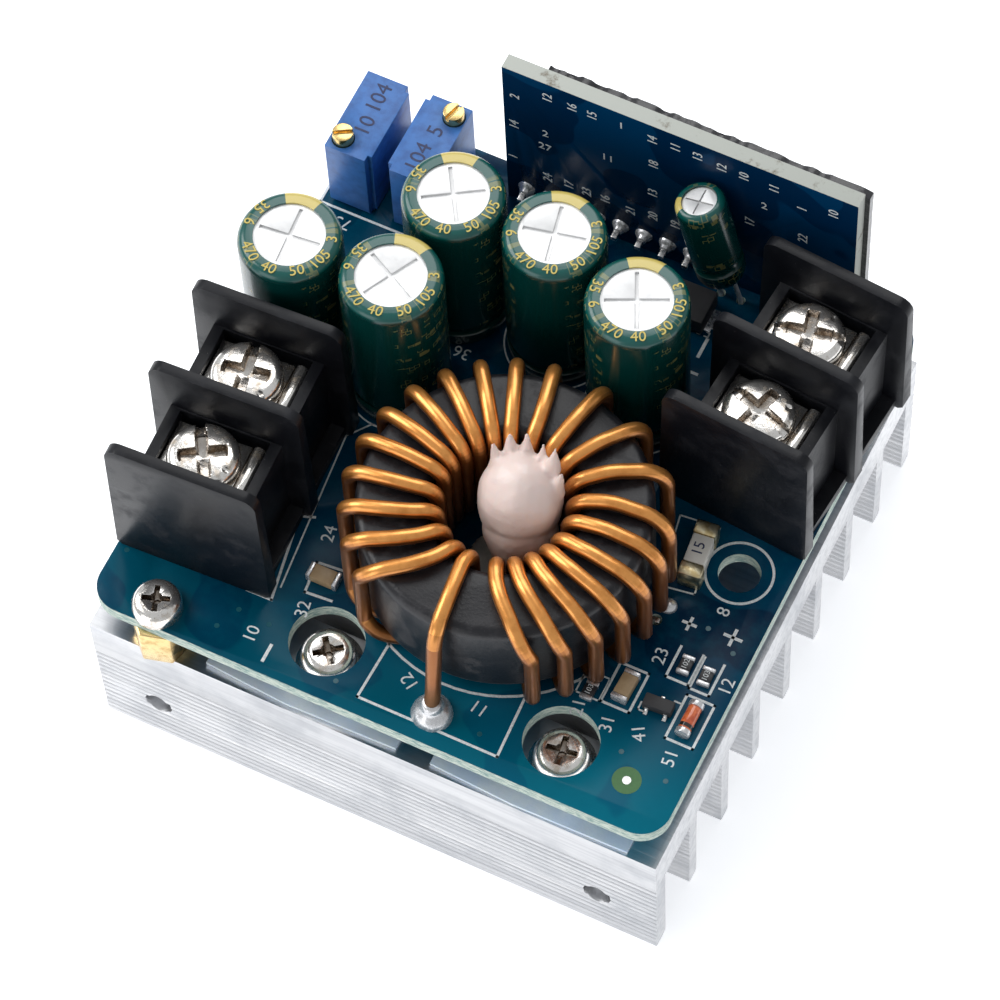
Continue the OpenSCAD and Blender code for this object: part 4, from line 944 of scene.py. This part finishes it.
ctrl_front = box_mm("control_board")[0].y
navy = Finish("navy solder mask", (0.003, 0.028, 0.075), 0.0, 0.28)
navy.put("Specular IOR Level", 0.15)
sawn = navy.step(navy.facing(1), 0.6, 0.4)
ctrl_pour = navy.step(navy.grain(0.14, 1, 0.4), 0.5, 0.52)
ctrl_tone = navy.tone(ctrl_pour, (0.0, 0.02, 0.065), (0.0, 0.036, 0.105))
stain = navy.step(navy.grain(0.4, 5, 0.7, stretch=(1, 1, 1.6)), 0.56, 0.74)
fibre = navy.tone(stain, (0.5, 0.52, 0.48), (0.14, 0.1, 0.06))
navy.colour(sawn, ctrl_tone, fibre)
navy.polish(sawn, 0, 1, 0.25, 0.75)
navy.bump(navy.grain(1.2, 3), 0.03, 0.4)
dressed("control_board", navy, edge=0.08)
dressed("control_header", mould, edge=0.08)
dressed("control_pins", tinned, edge=0.06)

on_front = Matrix.Translation((0, ctrl_front / 1000, 0)) @ Matrix.Rotation(math.radians(90), 4, "X")
control_words = [
    ("2", -11.5, 43.6, 90), ("12", -8.0, 45.6, 90), ("16", -5.4, 45.6, 90), ("15", -3.3, 45.6, 90),
    ("1", -0.3, 45.8, 0), ("14", 3.0, 45.5, 90), ("11", 5.4, 45.8, 90), ("13", 7.7, 45.7, 90),
    ("12", 10.2, 45.4, 90), ("10", 12.5, 45.4, 90), ("11", 15.6, 45.4, 90), ("1", 18.5, 43.8, 90),
    ("10", 21.7, 45.0, 90), ("2", 14.6, 41.6, 0), ("14", -11.7, 38.5, 90), ("2", -8.4, 39.0, 0),
    ("27", -8.5, 36.6, 0), ("11", -1.8, 39.1, 0), ("18", 3.1, 41.2, 90), ("1", -12.0, 32.6, 90),
    ("24", -8.3, 31.2, 90), ("17", -6.0, 31.4, 90), ("23", -4.1, 31.4, 90), ("16", -2.1, 31.4, 90),
    ("21", 0.6, 31.2, 90), ("13", 3.0, 36.0, 90), ("20", 3.0, 31.8, 90), ("19", 5.4, 31.8, 90),
    ("17", 13.2, 37.8, 90), ("22", 18.7, 38.6, 90)]
figures("control_numbers", control_words, 1.45, ink, on_front, "control_laminate")

compound = Finish("potting compound", (0.012, 0.012, 0.014), 0.0, 0.3, Coat_Weight=0.3, Coat_Roughness=0.2)
compound.colour(compound.grain(0.6, 4), (0.008, 0.008, 0.01), (0.035, 0.035, 0.04))
compound.bump(compound.grain(0.7, 4), 0.25, 0.7)
pot_low, pot_high = box_mm("control_potting")
pot_low.x += 2.5                        # the compound ends before the board's left end
pot_high += Vector((0, 0.2, 0.2))
wide_cells, high_cells = 70, 40


def poured(name, low, high, finish, node):
    """Compound poured on the back (+Y) of an upright board: within its box (mm), wavy in face and rim."""
    work = bmesh.new()
    front, back = [], []
    for j in range(high_cells + 1):
        for i in range(wide_cells + 1):
            u, v = i / wide_cells, j / high_cells
            rim = min(u, 1 - u, v * 1.5, (1 - v) * 1.5) * 6
            wave = noise.noise(Vector((u * 7, v * 5, 3.1)))
            fine = noise.noise(Vector((u * 23, v * 15, 8.2)))
            x = low.x + (high.x - low.x) * u
            z = low.z + (high.z - low.z) * v - (0.9 * max(0, fine + 0.2) if v == 1 else 0)
            depth = (high.y - low.y) * min(1, 0.8 + 0.2 * min(1, rim)) * (0.86 + 0.14 * wave + 0.06 * fine)
            front.append(work.verts.new((x / 1000, low.y / 1000, z / 1000)))
            back.append(work.verts.new((x / 1000, (low.y + depth) / 1000, z / 1000)))
    row = wide_cells + 1
    for j in range(high_cells):
        for i in range(wide_cells):
            a, b, c, d = j * row + i, j * row + i + 1, (j + 1) * row + i + 1, (j + 1) * row + i
            work.faces.new([front[k] for k in (a, b, c, d)])
            work.faces.new([back[k] for k in (d, c, b, a)])
    rim_ring = [*range(row)] + [j * row + wide_cells for j in range(1, high_cells + 1)]
    rim_ring += [high_cells * row + i for i in range(wide_cells - 1, -1, -1)]
    rim_ring += [j * row for j in range(high_cells - 1, 0, -1)]
    for a, b in zip(rim_ring, rim_ring[1:] + rim_ring[:1]):
        work.faces.new((front[b], front[a], back[a], back[b]))
    bmesh.ops.recalc_face_normals(work, faces=work.faces)
    piece = piece_from(name, work)
    soften(piece.data, 60)
    return finished(piece, finish, "module", node)


poured("control_compound", pot_low, pot_high, compound, "control_potting")

# ------------------------------------------------------------------------------ solder joints
# Mounds of solder wet the board round the coil's end and one pad, and cones of it hold the
# control board's pins. They are melted shapes with no straight edge.


def solder_drop(work, foot, axis, profile, wobble, sides=28):
    """A drop of solder on foot (mm): profile is (radius, height) up the axis, first and last closed."""
    turn = Vector(axis).to_track_quat("Z", "Y").to_matrix()
    rings = []
    for radius, height in profile:
        ring = []
        for k in range(sides):
            a = 2 * math.pi * k / sides
            side = turn @ Vector((math.cos(a), math.sin(a), 0))
            point = Vector(foot) + side * radius + turn @ Vector((0, 0, height))
            point += side * wobble * noise.noise(point * 0.9)
            ring.append(work.verts.new(point / 1000))
        rings.append(ring)
    for low_ring, high_ring in zip(rings, rings[1:]):
        for k in range(sides):
            j = (k + 1) % sides
            work.faces.new((low_ring[k], low_ring[j], high_ring[j], high_ring[k]))
    work.faces.new(rings[0][::-1])
    work.faces.new(rings[-1])


drops = bmesh.new()
mound = [(2.05, 0), (2.0, 0.2), (1.85, 0.55), (1.6, 0.9), (1.35, 1.15), (1.15, 1.35), (1.05, 1.7),
         (0.98, 2.1), (0.8, 2.25)]
solder_drop(drops, about_coil(lead_r, lead_a, board_top), (0, 0, 1), mound, 0.16)
dome = [(0.85, 0), (0.82, 0.15), (0.7, 0.35), (0.45, 0.5), (0.15, 0.56)]
solder_drop(drops, (20.8, -7.65, board_top), (0, 0, 1), dome, 0.1)
cone = [(0.95, 0), (0.9, 0.12), (0.7, 0.35), (0.52, 0.6), (0.46, 0.8), (0.4, 0.85)]
pin_low, pin_high = box_mm("control_pins")
pins, pin_w = 8, 0.6
pin_z = board_top + 2.6                 # height of the cones on the control board
pin_step = (pin_high.x - pin_low.x - pin_w) / (pins - 1)
for k in range(pins):
    foot = (pin_low.x + pin_w / 2 + k * pin_step, ctrl_front, pin_z)
    solder_drop(drops, foot, (0, -1, 0), cone, 0.12)
solder_drops = piece_from("solder_drops", drops)
soften(solder_drops.data, 60)
finished(solder_drops, solder, "module", "solder_joints")

# ------------------------------------------------------------------------------ fuse
# A white ceramic body with brass end caps, soldered down between the coil and the right block.

ceramic = Finish("glazed ceramic", (0.9, 0.87, 0.8), 0.0, 0.3)
ceramic.colour(ceramic.grain(0.9, 4), (0.93, 0.91, 0.85), (0.78, 0.74, 0.66))
ceramic.bump(ceramic.grain(4, 3), 0.02, 0.4)
cap_brass = Finish("fuse cap", (0.86, 0.72, 0.42), 1.0, 0.3)
cap_brass.colour(cap_brass.step(cap_brass.grain(1.2, 4), 0.4, 0.65), (0.9, 0.8, 0.55), (0.7, 0.55, 0.28))
cap_brass.bump(cap_brass.grain(3, 3), 0.04, 0.5)
dressed("fuse", ceramic, edge=0.16)
dressed("fuse_caps", cap_brass, edge=0.2)
fuse_low, fuse_high = box_mm("fuse")
fuse_word = ("15", (fuse_low.x + fuse_high.x) / 2, (fuse_low.y + fuse_high.y) / 2, 96)
figures("fuse_figure", [fuse_word], 1.5, dark_ink, face_up(fuse_high.z), "fuse_ceramic")

# ------------------------------------------------------------------------------ small parts
# Chip resistors and capacitors, a small transistor, a glass diode and a moulded one, all soldered
# flat on the board.

chip = Finish("chip resistor", (0.02, 0.02, 0.022), 0.0, 0.35)
chip.colour(chip.grain(2, 3), (0.012, 0.012, 0.014), (0.05, 0.05, 0.055))
chip.bump(chip.grain(6, 2), 0.01, 0.4)
tan = Finish("chip ceramic", (0.48, 0.33, 0.18), 0.0, 0.4)
tan.colour(tan.grain(1.6, 4), (0.55, 0.4, 0.23), (0.36, 0.24, 0.13))
tan.bump(tan.grain(6, 3), 0.01, 0.4)
glass = Finish("diode glass", (0.75, 0.16, 0.06), 0.0, 0.08, Coat_Weight=0.6, Coat_Roughness=0.05)
core_band = glass.between(glass.axes()[1], -18.9, -18.5, 0.05)
glass_tone = glass.tone(glass.step(glass.grain(1.2, 3), 0.4, 0.7), (0.82, 0.2, 0.07), (0.5, 0.08, 0.03))
glass.colour(core_band, glass_tone, (0.02, 0.02, 0.02))
dressed("chip_resistors", chip, edge=0.06)
dressed("chip_capacitors", tan, edge=0.1)
dressed("chip_ends", solder, edge=0.09)
dressed("signal_transistor", mould, edge=0.1)
dressed("transistor_legs", tinned, edge=0.04)
dressed("glass_diode", glass, edge=0.1)
dressed("power_diode", mould, edge=0.15)
dressed("diode_tabs", solder, edge=0.06)
chip_top = box_mm("chip_resistors")[1].z
chip_words = [("103", 17.95, -18.9, 90), ("102", 24.96, -12.7, 92), ("103", 27.2, -13.0, 92)]
figures("chip_figures", chip_words, 0.75, ink, face_up(chip_top + ink_t), "chip_black")

# ------------------------------------------------------------------------------ floor, lights and camera
# A pale plain floor in a pale room, under soft studio light: a broad lamp overhead and behind, one
# at the left and a weak one in front.

floor_mesh = bpy.data.meshes.new("floor")
reach = 1.5
corners = [(-reach, -reach, 0), (reach, -reach, 0), (reach, reach, 0), (-reach, reach, 0)]
floor_mesh.from_pydata(corners, [], [(0, 1, 2, 3)])
floor = in_scene("floor", floor_mesh)
paper = Finish("white paper", (0.93, 0.93, 0.94), 0.0, 0.9, Emission_Color=(0.95, 0.97, 1, 1),
               Emission_Strength=0.6)
paper.colour(paper.grain(0.01, 2), (0.93, 0.93, 0.94), (0.9, 0.9, 0.91))
paper.put("Specular IOR Level", 0.0)
floor.data.materials.append(paper.material)
floor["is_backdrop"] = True

world = bpy.data.worlds.new("pale room")
bpy.context.scene.world = world
world.use_nodes = True
room = world.node_tree.nodes["Background"].inputs
room["Color"].default_value = (0.95, 0.975, 1, 1)
room["Strength"].default_value = 0.5


def lamp(name, place, size, watts, aim=(0, 0, 0.02)):
    light = bpy.data.lights.new(name, "AREA")
    light.shape = "SQUARE"
    light.size = size
    light.energy = watts
    holder = in_scene(name, light)
    holder.location = place
    holder.rotation_euler = (Vector(aim) - Vector(place)).to_track_quat("-Z", "Y").to_euler()


lamp("left light", (-0.45, -0.05, 0.42), 0.35, 1.7)
lamp("front light", (-0.2, -0.6, 0.2), 0.35, 0.6)
lamp("overhead light", (-0.15, 0.45, 0.6), 0.5, 2.0)

eye = bpy.data.cameras.new("camera")
eye.sensor_width = 36
eye.lens = 179.83
eye.clip_start = 0.01
camera = in_scene("camera", eye)
camera.location = (0.11205, -0.20082, 0.44420)
camera.rotation_euler = [math.radians(turn) for turn in (28.2349, 1.7622, 26.0777)]
bpy.context.scene.camera = camera
bpy.context.scene.view_settings.view_transform = "Standard"

low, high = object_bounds()
